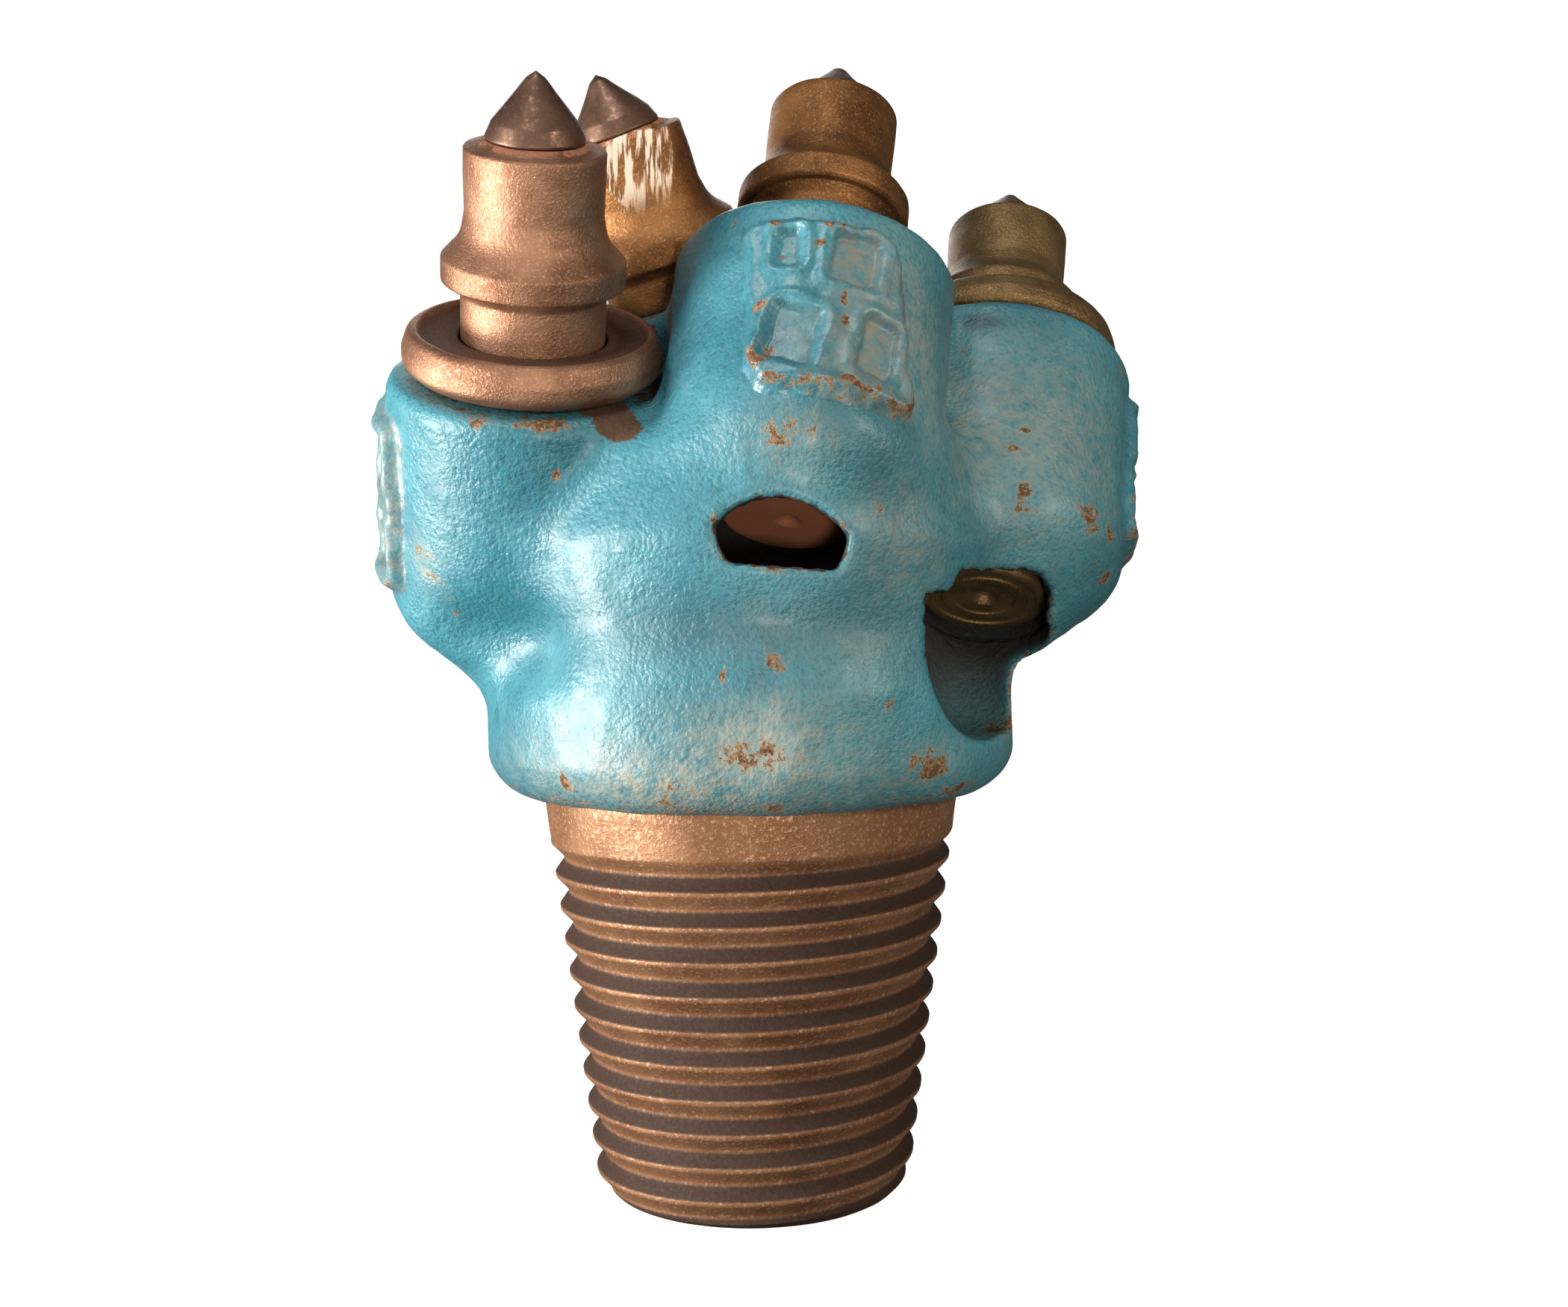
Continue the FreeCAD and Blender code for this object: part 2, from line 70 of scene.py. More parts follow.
def stationPlace(name, along=0.0, spinTo=None):
    # Matrix in millimetres: Z runs up the pick, X toward the bearing asked for
    station = stations[name]
    spin = 0.0 if spinTo is None else spinTo - station["toward"]
    return (Matrix.Translation(station["seat"]) @ Matrix.Rotation(math.radians(station["toward"]), 4, "Z")
            @ Matrix.Rotation(math.radians(station["lean"]), 4, "Y") @ Matrix.Translation((0, 0, along))
            @ Matrix.Rotation(math.radians(spin), 4, "Z"))


def collarHeight(name):
    return stations[name]["lift"] + (washerHeight if stations[name]["washer"] else 0.0)


def linked(name, mesh):
    piece = bpy.data.objects.new(name, mesh)
    bpy.context.scene.collection.objects.link(piece)
    return piece


def meshObject(name, points, faces, place=None):
    # Points in millimetres. The place goes into the mesh and the object stays at the origin
    mesh = bpy.data.meshes.new(name)
    mesh.from_pydata([tuple(point) for point in np.asarray(points, float)], [], [tuple(f) for f in faces])
    if place is not None:
        mesh.transform(place)
    mesh.transform(Matrix.Scale(mm, 4))
    mesh.validate()
    mesh.shade_smooth()
    return linked(name, mesh)


def closedObject(name, points, faces, place):
    # A closed mesh whose faces are turned to face outward
    piece = meshObject(name, points, faces, place)
    work = bmesh.new()
    work.from_mesh(piece.data)
    bmesh.ops.recalc_face_normals(work, faces=work.faces)
    work.to_mesh(piece.data)
    work.free()
    return piece


def roundedOutline(corners, step=0.6):
    # Corners are (radius, height) or (radius, height, rounding), joined by lines no longer than step
    points = []
    for i, corner in enumerate(corners):
        here = np.array(corner[:2], float)
        rounding = corner[2] if len(corner) > 2 else 0.0
        if rounding == 0 or i in (0, len(corners) - 1):
            points.append(here)
            continue
        back = np.array(corners[i - 1][:2], float) - here
        ahead = np.array(corners[i + 1][:2], float) - here
        back /= np.linalg.norm(back)
        ahead /= np.linalg.norm(ahead)
        half = math.acos(np.clip(back @ ahead, -1, 1)) / 2
        reach = rounding / math.tan(half)
        middle = here + (back + ahead) / np.linalg.norm(back + ahead) * (rounding / math.sin(half))
        start = here + back * reach - middle
        turn = math.pi - 2 * half
        side = math.copysign(1, back[0] * ahead[1] - back[1] * ahead[0])
        count = max(3, int(turn * rounding / (step * 0.5)) + 2)
        for share in np.linspace(0, 1, count):
            angle = -side * turn * share
            cosine, sine = math.cos(angle), math.sin(angle)
            spoke = [start[0] * cosine - start[1] * sine, start[0] * sine + start[1] * cosine]
            points.append(middle + np.array(spoke))
    dense = [points[0]]
    for a, b in zip(points, points[1:]):
        count = max(1, int(np.linalg.norm(b - a) / step + 0.5))
        dense += [a + (b - a) * share for share in np.linspace(0, 1, count + 1)[1:]]
    return np.array(dense)


def aroundAxis(radius, angle, height):
    return np.stack([radius * np.cos(angle), radius * np.sin(angle), height], -1)


def turned(name, outline, segments, place, shape=None):
    # Turns an outline about Z. It runs from pole to pole, or closes on itself where it starts off the axis.
    # A shape, if given, moves the rings' points: it takes and returns arrays of radius, angle and height
    poles = outline[0][0] < 1e-6
    rings = outline[1:-1] if poles else outline
    angles = np.linspace(0, 2 * math.pi, segments, endpoint=False)
    radius = np.repeat(rings[:, :1], segments, 1)
    height = np.repeat(rings[:, 1:], segments, 1)
    angle = np.repeat(angles[None], len(rings), 0)
    if shape is not None:
        radius, angle, height = shape(radius, angle, height)
    points = aroundAxis(radius, angle, height).reshape(-1, 3)
    faces = []
    count = len(rings)
    for i in range(count - 1 if poles else count):
        j = (i + 1) % count
        for k in range(segments):
            m = (k + 1) % segments
            faces.append((i * segments + k, j * segments + k, j * segments + m, i * segments + m))
    if poles:
        first = len(points)
        points = np.vstack([points, [[0, 0, outline[0][1]], [0, 0, outline[-1][1]]]])
        last = (count - 1) * segments
        for k in range(segments):
            m = (k + 1) % segments
            faces.append((first, k, m))
            faces.append((first + 1, last + m, last + k))
    return closedObject(name, points, faces, place)


def lumps(piece, name, size, height, group=""):
    # Real unevenness from Blender's cloud texture, in millimetres, by the share that a vertex group gives
    texture = bpy.data.textures.new(name, "CLOUDS")
    texture.noise_scale = size * mm
    texture.noise_depth = 2
    displace = piece.modifiers.new(name, "DISPLACE")
    displace.texture = texture
    displace.texture_coords = "LOCAL"
    displace.strength = height * mm
    displace.mid_level = 0.5
    displace.vertex_group = group


def vertexTable(mesh, key):
    values = np.empty(len(mesh.vertices) * 3)
    mesh.vertices.foreach_get(key, values)
    return values.reshape(-1, 3)


def paintMasks(piece, **masks):
    # One value for each point, which a finish reads by the mask's name
    for name, values in masks.items():
        attribute = piece.data.attributes.new(name, "FLOAT", "POINT")
        attribute.data.foreach_set("value", np.asarray(values, np.float32))


class Finish:
    # A material and the short calls that wire its nodes
    def __init__(self, name):
        self.material = bpy.data.materials.new(name)
        self.material.use_nodes = True
        self.tree = self.material.node_tree
        self.shader = self.tree.nodes["Principled BSDF"]
        self.place = self.tree.nodes.new("ShaderNodeTexCoord").outputs["Object"]

    def put(self, socket, value):
        if isinstance(value, bpy.types.NodeSocket):
            self.tree.links.new(value, socket)
        elif isinstance(value, tuple) and len(value) == 3 and socket.type == "RGBA":
            socket.default_value = (*value, 1.0)
        else:
            socket.default_value = value

    def node(self, kind, inputs, **options):
        # Makes a node, sets its options, then sets or wires its inputs
        made = self.tree.nodes.new("ShaderNode" + kind)
        for name, value in options.items():
            setattr(made, name, value)
        for name, value in inputs.items():
            self.put(made.inputs[name], value)
        return made.outputs

    def noise(self, size, detail, roughness, stretch=None):
        # Size is the width of a lump in millimetres
        place = self.place
        if stretch is not None:
            place = self.node("Mapping", {"Vector": place, "Scale": stretch})["Vector"]
        scale = 1.0 / (size * mm)
        inputs = {"Vector": place, "Scale": scale, "Detail": detail, "Roughness": roughness}
        return self.node("TexNoise", inputs)["Fac"]

    def mask(self, name):
        return self.node("Attribute", {}, attribute_name=name)["Fac"]

    def math(self, kind, a, b):
        return self.node("Math", {0: a, 1: b}, operation=kind)[0]

    def times(self, a, b):
        return self.math("MULTIPLY", a, b)

    def plus(self, a, b):
        return self.math("ADD", a, b)

    def minus(self, a, b):
        return self.math("SUBTRACT", a, b)

    def most(self, a, b):
        return self.math("MAXIMUM", a, b)

    def spread(self, value, low, high, toLow=0.0, toHigh=1.0):
        inputs = {"Value": value, "From Min": low, "From Max": high, "To Min": toLow, "To Max": toHigh}
        return self.node("MapRange", inputs, interpolation_type="SMOOTHSTEP")["Result"]

    def blend(self, share, a, b):
        node = self.tree.nodes.new("ShaderNodeMix")
        node.data_type = "RGBA"
        self.put(node.inputs["Factor"], share)
        colours = [socket for socket in node.inputs if socket.type == "RGBA"]
        self.put(colours[0], a)
        self.put(colours[1], b)
        return next(socket for socket in node.outputs if socket.type == "RGBA")

    def bump(self, height, depth, under=None):
        # Depth, in millimetres, is what a height of one stands for
        inputs = {"Strength": 1.0, "Distance": depth * mm, "Height": height}
        if under is not None:
            inputs["Normal"] = under
        return self.node("Bump", inputs)["Normal"]

    def surface(self, **sockets):
        names = {"colour": "Base Color", "metal": "Metallic", "roughness": "Roughness", "normal": "Normal",
                 "coat": "Coat Weight", "coatRoughness": "Coat Roughness", "glow": "Emission Color",
                 "glowStrength": "Emission Strength"}
        for key, value in sockets.items():
            self.put(self.shader.inputs[names[key]], value)

    def wear(self, piece):
        piece.data.materials.clear()
        piece.data.materials.append(self.material)


# Colours and shine of the enamel, the widths of its noises, and how deep its peel and its chips go
paintSettings = {
    "deep": (0.022, 0.150, 0.205), "body": (0.052, 0.232, 0.298), "pale": (0.120, 0.335, 0.385),
    "dust": (0.390, 0.350, 0.260), "rust": (0.110, 0.055, 0.026), "tan": (0.330, 0.210, 0.110),
    # painted shade: the near black darkens the hollows, the dark blue darkens stains and the band under the
    # front window
    "steel": (0.085, 0.045, 0.026), "grime": (0.016, 0.013, 0.011), "stain": (0.020, 0.085, 0.120),
    # the pit colour is painted shade in the low spots of the peel
    "pit": (0.010, 0.060, 0.085), "roughness": 0.45, "coat": 0.18, "coatRoughness": 0.28, "bareMetal": 0.30,
    "cloud": 26.0, "veil": 7.0, "peel": 0.66, "scuff": 2.2, "fleck": 0.7, "smear": 3.0, "ripple": 1.8,
    "peelDepth": 0.26, "rippleDepth": 0.16, "chipDepth": 0.12,
}


def paintFinish(name, look):
    # Turquoise enamel over a cast skin, rubbed and chipped down to rust where the masks say
    paint = Finish(name)
    clouds = paint.spread(paint.noise(look["cloud"], 3.0, 0.55), 0.32, 0.68)
    colour = paint.blend(clouds, look["deep"], look["body"])
    veil = paint.spread(paint.noise(look["veil"], 5.0, 0.68), 0.50, 0.80)
    colour = paint.blend(paint.times(veil, 0.5), colour, look["pale"])
    peel = paint.noise(look["peel"], 2.0, 0.5)
    # painted shade: the low spots of the peel darkened
    colour = paint.blend(paint.times(paint.spread(peel, 0.50, 0.30), 0.40), colour, look["pit"])
    ragged = paint.noise(look["scuff"], 5.0, 0.68)
    fine = paint.noise(look["fleck"], 3.0, 0.6)
    dusty = paint.times(paint.mask("dust"), paint.spread(ragged, 0.22, 0.70))
    colour = paint.blend(paint.times(dusty, 0.8), colour, look["dust"])
    # stains, and painted shade on the band under the front window, toward a deep blue where the mask says
    colour = paint.blend(paint.mask("stain"), colour, look["stain"])
    # chips and worn edges, with both noises breaking up their outline
    scuffs = paint.plus(paint.mask("chip"), paint.times(paint.mask("edge"), 0.50))
    scuffs = paint.plus(scuffs, paint.times(paint.minus(ragged, 0.5), 1.5))
    scuffs = paint.plus(scuffs, paint.times(paint.minus(fine, 0.5), 0.5))
    chipped = paint.spread(scuffs, 0.50, 0.56)
    rubbed = paint.spread(scuffs, 0.38, 0.52)
    colour = paint.blend(paint.times(rubbed, 0.65), colour, look["tan"])
    rust = paint.blend(paint.spread(fine, 0.42, 0.66), look["rust"], look["tan"])
    colour = paint.blend(chipped, colour, rust)
    bare = paint.plus(paint.mask("bare"), paint.times(paint.minus(ragged, 0.5), 0.9))
    bare = paint.spread(bare, 0.45, 0.60)
    steel = paint.blend(paint.spread(ragged, 0.45, 0.65), look["steel"], look["rust"])
    colour = paint.blend(bare, colour, steel)
    # painted shade: bores, windows and channels darkened toward near black where the mask says
    grime = paint.mask("grime")
    colour = paint.blend(grime, colour, look["grime"])
    gone = paint.most(paint.most(chipped, bare), grime)
    smears = paint.noise(look["smear"], 3.0, 0.5)
    roughness = paint.spread(smears, 0.3, 0.7, look["roughness"] - 0.07, look["roughness"] + 0.10)
    roughness = paint.plus(roughness, paint.times(gone, 0.28))
    roughness = paint.plus(roughness, paint.times(dusty, 0.22))
    skin = paint.bump(peel, look["peelDepth"])
    skin = paint.bump(paint.noise(look["ripple"], 2.0, 0.5), look["rippleDepth"], skin)
    skin = paint.bump(paint.minus(1.0, chipped), look["chipDepth"], skin)
    coat = paint.times(paint.minus(1.0, gone), look["coat"])
    metal = paint.times(paint.minus(gone, grime), look["bareMetal"])
    paint.surface(colour=colour, roughness=roughness, normal=skin, coat=coat,
                  coatRoughness=look["coatRoughness"], metal=metal)
    return paint


# The bare steels: first what they share, such as the widths of patches, blasted grain, strokes and dents
blastSettings = {
    "patch": 12.0, "grain": 0.42, "relief": 0.15, "rustPatch": 1.6, "stroke": 0.9, "dent": 2.6,
    "stretch": (1.0, 1.0, 0.10), "dentDepth": 0.07, "ground": (0.86, 0.72, 0.60),
    "shade": (0.022, 0.007, 0.002),
}
steelSettings = {
    "rose": {"dark": (0.190, 0.085, 0.048), "body": (0.400, 0.215, 0.135), "bright": (0.660, 0.440, 0.320),
             "rust": (0.380, 0.150, 0.080), "roughness": 0.46, "metal": 0.82},
    "amber": {"dark": (0.120, 0.048, 0.016), "body": (0.350, 0.160, 0.055), "bright": (0.620, 0.370, 0.170),
              "rust": (0.420, 0.160, 0.085), "roughness": 0.46, "metal": 0.78},
    "olive": {"dark": (0.130, 0.080, 0.034), "body": (0.320, 0.205, 0.090), "bright": (0.560, 0.390, 0.190),
              "rust": (0.240, 0.100, 0.045), "roughness": 0.44, "metal": 0.80},
    "carbide": {"dark": (0.085, 0.045, 0.030), "body": (0.185, 0.105, 0.072),
                "bright": (0.340, 0.210, 0.150), "rust": (0.330, 0.125, 0.045), "roughness": 0.44,
                "metal": 0.70, "grain": 0.8, "relief": 0.03},
    "pin": {"dark": (0.210, 0.090, 0.042), "body": (0.320, 0.160, 0.082), "bright": (0.860, 0.600, 0.400),
            "rust": (0.240, 0.082, 0.036), "roughness": 0.46, "metal": 0.50, "grain": 0.6, "relief": 0.12},
    "spring": {"dark": (0.100, 0.075, 0.060), "body": (0.220, 0.180, 0.150), "bright": (0.450, 0.400, 0.360),
               "rust": (0.250, 0.100, 0.050), "roughness": 0.38, "metal": 0.85, "grain": 0.8, "relief": 0.02},
}


def steelFinish(name, kind):
    # Heat-browned steel, shot blasted: a fine bright speckle over brown, ground bright where the mask says
    steel = Finish(name)
    look = {**blastSettings, **steelSettings[kind]}
    patches = steel.noise(look["patch"], 3.0, 0.6)
    speckle = steel.noise(look["grain"], 3.0, 0.7)
    colour = steel.blend(steel.spread(patches, 0.30, 0.70), look["dark"], look["body"])
    colour = steel.blend(steel.times(steel.spread(speckle, 0.50, 0.78), 0.7), colour, look["bright"])
    rusty = steel.times(steel.minus(steel.noise(look["rustPatch"], 4.0, 0.65), 0.5), 1.2)
    rusty = steel.spread(steel.plus(steel.mask("rust"), rusty), 0.42, 0.62)
    colour = steel.blend(rusty, colour, look["rust"])
    strokes = steel.noise(look["stroke"], 3.0, 0.6, look["stretch"])
    bright = steel.times(steel.mask("ground"), steel.spread(strokes, 0.46, 0.56))
    colour = steel.blend(bright, colour, look["ground"])
    # painted shade where the shade mask says: the pin's upward flanks and the washers' dishes
    shade = steel.mask("shade")
    colour = steel.blend(steel.times(shade, 0.97), colour, look["shade"])
    roughness = steel.spread(speckle, 0.3, 0.7, look["roughness"] + 0.10, look["roughness"] - 0.06)
    roughness = steel.plus(roughness, steel.times(rusty, 0.25))
    roughness = steel.plus(roughness, steel.times(shade, 0.30))
    skin = steel.bump(speckle, look["relief"])
    skin = steel.bump(steel.noise(look["dent"], 3.0, 0.5), look["dentDepth"], skin)
    dull = steel.most(steel.times(rusty, 0.7), steel.times(shade, 0.9))
    metal = steel.times(steel.minus(1.0, dull), look["metal"])
    steel.surface(colour=colour, roughness=roughness, normal=skin, metal=metal)
    return steel


# The cast head is a blended solid, read off a grid of distances
castSettings = {
    "grid": 0.7, "gridLow": (-60, -50, -1.5), "gridHigh": (68, 50, 94), "waves": (14.0, 0.7),
    "pits": (4.0, 0.22), "bossBlend": 3.6, "coreBlend": 4.5, "cutRound": 0.9, "shoulder": 1.3,
    "core": [(0, 1.3), (42.2, 1.3, 7.4), (42.2, 18.5, 9), (40.4, 29, 9), (42.8, 41.5, 7), (37.5, 57, 6),
             (0, 58.5)],
    # a hollow under the left boss and one under the right: middle, half widths and how softly they run out
    "hollows": [((-43.0, -27.0, 25.5), (13.5, 10.0, 6.6), 5.0), ((43.0, 27.0, 25.5), (13.5, 10.0, 6.6), 5.0)],
    "boss": [(0, -52), (8, -52, 3), (21.8, -38.2, 10), (21.8, 0, 2.6), (0, 0)],
    # the pin's socket, then the seats and bores, the windows in front and behind, the channels at the sides
    "socketRadius": 24.0, "socketTop": 24.0,
    "collarSpotface": 15.1, "washerSpotface": 20.3, "seatDrop": 0.15,
    "bore": 11.0, "boreDepth": 53.0, "openBoreDepth": 45.4, "boreChamfer": 0.8,
    "windowFloor": 37.1, "windowHeight": 9.8, "archRound": 11.8, "sideRound": 9.5, "sideHeight": 5.8,
    "windowTilt": -4.5, "floorRound": 0.8, "windowRagged": 0.6,
    "channelRadius": 10.45, "channelStart": 43.0, "channelDepth": 56.0, "mouthHeight": 15.8,
    "mouthRound": 4.5, "ledgeDrop": 3.0, "ledgeAt": -6.5, "ledgeRun": 2.0, "ovalMiddle": 6.5,
    "ovalHeight": 16.6,
    "ragged": 0.35, "raggedFrom": 20.0, "raggedRun": 5.0,
}
# Wear seen on the head. Each mark has its place, its half width, its half height and its strength
castWear = {
    "chip": [
        (-11.7, -16.4, 75.0, 1.3, 4.2, 0.85), (0.4, -36.0, 70.2, 0.8, 1.5, 0.70),
        (18.1, -40.7, 50.7, 1.2, 1.6, 0.70), (-4.1, -42.1, 22.6, 1.3, 1.6, 0.80),
        (0.5, -41.8, 11.0, 9.5, 3.4, 0.50), (26.0, -32.8, 8.1, 6.0, 3.4, 0.60),
        (19.7, -36.9, 17.7, 1.5, 1.5, 0.60), (-27.3, -31.6, 6.0, 1.0, 2.2, 0.75),
        (-28.8, -35.0, 57.8, 4.5, 1.2, 0.55), (-47.2, -22.8, 36.3, 2.5, 5.0, 0.38),
        (-49.0, -22.4, 39.6, 1.5, 5.0, 0.45), (-16.5, -35.9, 56.0, 1.6, 1.8, 0.60),
        (41.9, -21.5, 47.3, 3.0, 3.6, 0.52), (52.2, -17.5, 44.5, 2.8, 4.4, 0.54),
        (34.0, -7.6, 70.6, 1.0, 9.0, 0.38), (33.1, -14.9, 59.6, 1.2, 8.0, 0.36),
        (55.8, -11.0, 34.7, 2.2, 2.2, 0.50), (6.0, -43.1, 55.1, 6.0, 4.0, 0.46),
        (-45.2, -21.7, 32.9, 3.0, 1.5, 0.35), (-33.1, -29.1, 33.5, 5.0, 1.0, 0.40),
        (38.4, -8.5, 11.5, 2.5, 2.5, 0.75), (23.3, -30.1, 73.6, 1.2, 6.0, 0.30),
        (26.4, -35.3, 49.6, 2.0, 6.0, 0.33), (-11.1, -40.3, 6.7, 12.0, 3.0, 0.26),
        (31.6, -26.1, 3.9, 6.0, 2.0, 0.50), (-38.0, -35.4, 58.0, 3.0, 1.0, 0.35),
        (58.3, -9.9, 43.4, 2.2, 5.0, 0.35), (-1.0, -26.3, 87.2, 3.0, 1.2, 0.36),
        (14.2, -29.7, 86.5, 3.0, 1.2, 0.34),
    ],
    "dust": [
        (1.5, -41.8, 11.0, 13.0, 7.0, 0.95), (-10.0, -41.0, 6.0, 30.0, 6.5, 0.80),
        (3.7, -41.6, 18.3, 3.0, 2.0, 0.60), (43.0, -18.0, 58.0, 20.0, 18.0, 0.62),
        (25.0, -30.0, 70.0, 7.0, 22.0, 0.60), (24.0, -38.0, 40.0, 9.0, 12.0, 0.45),
        (26.0, -32.8, 8.1, 7.0, 4.0, 0.55), (33.6, -11.0, 65.0, 1.6, 16.0, 0.60),
        (5.2, -43.0, 27.7, 18.0, 4.0, 0.25), (6.0, -43.0, 55.0, 7.0, 5.0, 0.50),
        (26.0, -36.0, 45.0, 3.0, 9.0, 0.45), (-48.0, -22.0, 38.0, 3.0, 5.0, 0.45),
        (38.0, -12.0, 14.0, 6.0, 6.0, 0.55),
    ],
    "bare": [(-18.6, -32.2, 58.4, 4.8, 3.8, 1.0), (-21.0, -28.4, 60.4, 5.0, 4.6, 1.0)],
    # a dark patch on the right boss, then painted shade on the band under the front window
    "stain": [(36.9, -5.7, 75.3, 4.0, 1.4, 1.2), (-6.0, -43.0, 29.0, 21.0, 5.0, 0.60),
              (16.0, -41.0, 28.0, 13.0, 5.5, 0.55)],
    "scattered": 90, "seed": 7,
    # the two channels lie below this height and beyond this distance; painted shade thickens up along them
    "channelTop": 34.0, "channelBeyond": 20.0, "shadeFoot": 8.0, "shadeRun": 16.0,
    # how bare the seats and the rims of the hollows are, the channels' rims less so, and how dark the painted
    # shade in the hollows gets
    "seatBare": 0.55, "rimBare": 0.62, "channelShare": 0.6, "darkest": 0.96, "edgeGain": 1.6,
    # rust along the flange's lower edge: height, half height and strength
    "lowEdge": (2.5, 2.4, 0.30),
}


def smoothMin(a, b, blend):
    # The lesser of two distances, rounded off where they are nearly equal
    share = np.clip(0.5 + 0.5 * (b - a) / blend, 0, 1)
    return b + (a - b) * share - blend * share * (1 - share)


def smoothCut(solid, cutter, blend):
    return -smoothMin(-solid, cutter, blend)


def distanceToOutline(corners, step=0.25, margin=15.0):
    # Signed distance from a turned outline, kept as a table over radius and height
    outline = roundedOutline(corners, 0.8)
    radii = np.arange(0, outline[:, 0].max() + margin, step)
    heights = np.arange(outline[:, 1].min() - margin, outline[:, 1].max() + margin, step)
    r, h = np.meshgrid(radii, heights, indexing="ij")
    nearest = np.full(r.shape, 1e9)
    inside = np.zeros(r.shape, bool)
    for (ar, ah), (br, bh) in zip(outline, outline[1:]):
        dr, dh = br - ar, bh - ah
        t = np.clip(((r - ar) * dr + (h - ah) * dh) / (dr * dr + dh * dh + 1e-12), 0, 1)
        nearest = np.minimum(nearest, np.hypot(r - ar - t * dr, h - ah - t * dh))
        if bh != ah:
            spans = (h > min(ah, bh)) & (h <= max(ah, bh))
            inside ^= spans & (r < ar + (h - ah) / (bh - ah) * (br - ar))
    table = np.where(inside, -nearest, nearest).astype(np.float32)

    def look(radius, height):
        u = np.clip(radius / step, 0, len(radii) - 1.001)
        v = np.clip((height - heights[0]) / step, 0, len(heights) - 1.001)
        i, j = u.astype(np.int32), v.astype(np.int32)
        u, v = u - i, v - j
        return ((table[i, j] * (1 - u) + table[i + 1, j] * u) * (1 - v)
                + (table[i, j + 1] * (1 - u) + table[i + 1, j + 1] * u) * v)
    return look


def soft(value, width):
    # Rises smoothly from 0 to 1 as the value goes from 0 to the width
    share = np.clip(value / width, 0, 1)
    return share * share * (3 - 2 * share)


def roundBox(x, y, width, height, corner):
    # Distance in a plane to a rectangle with round corners
    dx, dy = np.abs(x) - width / 2 + corner, np.abs(y) - height / 2 + corner
    return np.hypot(np.maximum(dx, 0), np.maximum(dy, 0)) + np.minimum(np.maximum(dx, dy), 0) - corner


def inStation(name, x, y, z, along=0.0):
    # Coordinates of points in a station's own frame
    back = stationPlace(name, along).inverted()
    return [back[row][0] * x + back[row][1] * y + back[row][2] * z + back[row][3] for row in range(3)]


def pointsInStation(piece, name, along=0.0):
    return inStation(name, *(vertexTable(piece.data, "co") / mm).T, along)


def raggedness(x, y, z):
    # A slow wobble of a few millimetres' width, for edges that a torch or a mould left rough
    wave = np.sin(x * 1.9 + 1.3 * np.sin(z * 0.9)) * np.sin(z * 2.3 + y * 0.7)
    return (wave + 0.6 * np.sin(y * 3.1 + x * 2.7 - z * 1.7)) / 1.6


castCore = distanceToOutline(castSettings["core"])
castBoss = distanceToOutline(castSettings["boss"])


def castBlank(x, y, z):
    # Distance to the head before any machining: bosses and drum run together, less the hollows
    size = castSettings
    solid = None
    for name in stations:
        across, back, up = inStation(name, x, y, z)
        boss = castBoss(np.hypot(across, back), up)
        solid = boss if solid is None else smoothMin(solid, boss, size["bossBlend"])
    solid = smoothMin(solid, castCore(np.hypot(x, y), z), size["coreBlend"])
    for middle, half, blend in size["hollows"]:
        scaled = [(value - m) / h for value, m, h in zip((x, y, z), middle, half)]
        egg = (np.sqrt(sum(value ** 2 for value in scaled)) - 1) * min(half)
        solid = smoothCut(solid, egg, blend)
    return solid


def mouthFrame(name, x, y, foot):
    # How far points lie outward and sideways from a bore's foot, toward its window or channel
    turn = math.radians(stations[name]["windowToward"])
    outward = (x - foot.x) * math.cos(turn) + (y - foot.y) * math.sin(turn)
    sideways = -(x - foot.x) * math.sin(turn) + (y - foot.y) * math.cos(turn)
    return outward, sideways


def channelGap(name, x, y, z, radius, up):
    # The open channel for the knock-out drift: a round way, and a mouth with a stepped lip and an oval foot
    size = castSettings
    foot = stationPlace(name, -size["channelDepth"]) @ Vector((0, 0, 0))
    outward, sideways = mouthFrame(name, x, y, foot)
    wide = size["channelRadius"]
    below = np.maximum(-size["channelDepth"] - up, 0)
    way = np.maximum(np.hypot(radius, below) - wide, up + size["channelStart"])
    lift = z - foot.z
    corner = roundBox(sideways, lift, wide * 2, size["mouthHeight"] * 2, size["mouthRound"])
    step = size["ledgeDrop"] * (1 - soft(sideways - size["ledgeAt"], size["ledgeRun"]))
    ledge = lift - size["mouthHeight"] + step
    oval = np.hypot(sideways / wide, (lift - size["ovalMiddle"]) / size["ovalHeight"])
    mouth = np.where(lift > size["ovalMiddle"], np.maximum(corner, ledge), (oval - 1) * wide)
    return np.minimum(way, np.maximum(mouth, -outward))


def windowGap(name, x, y, z):
    # The knock-out window at a bore's foot: a flat floor under a low arch
    size = castSettings
    foot = stationPlace(name, -size["boreDepth"]) @ Vector((0, 0, 0))
    outward, sideways = mouthFrame(name, x, y, foot)
    lift = z - size["windowFloor"] - sideways * math.tan(math.radians(size["windowTilt"]))
    arch = np.hypot(sideways, lift - size["windowHeight"] + size["archRound"]) - size["archRound"]
    side = np.hypot(sideways, lift - size["sideHeight"]) - size["sideRound"]
    window = -smoothMin(-np.maximum(arch, side), lift, size["floorRound"])
    return np.maximum(window, -outward)


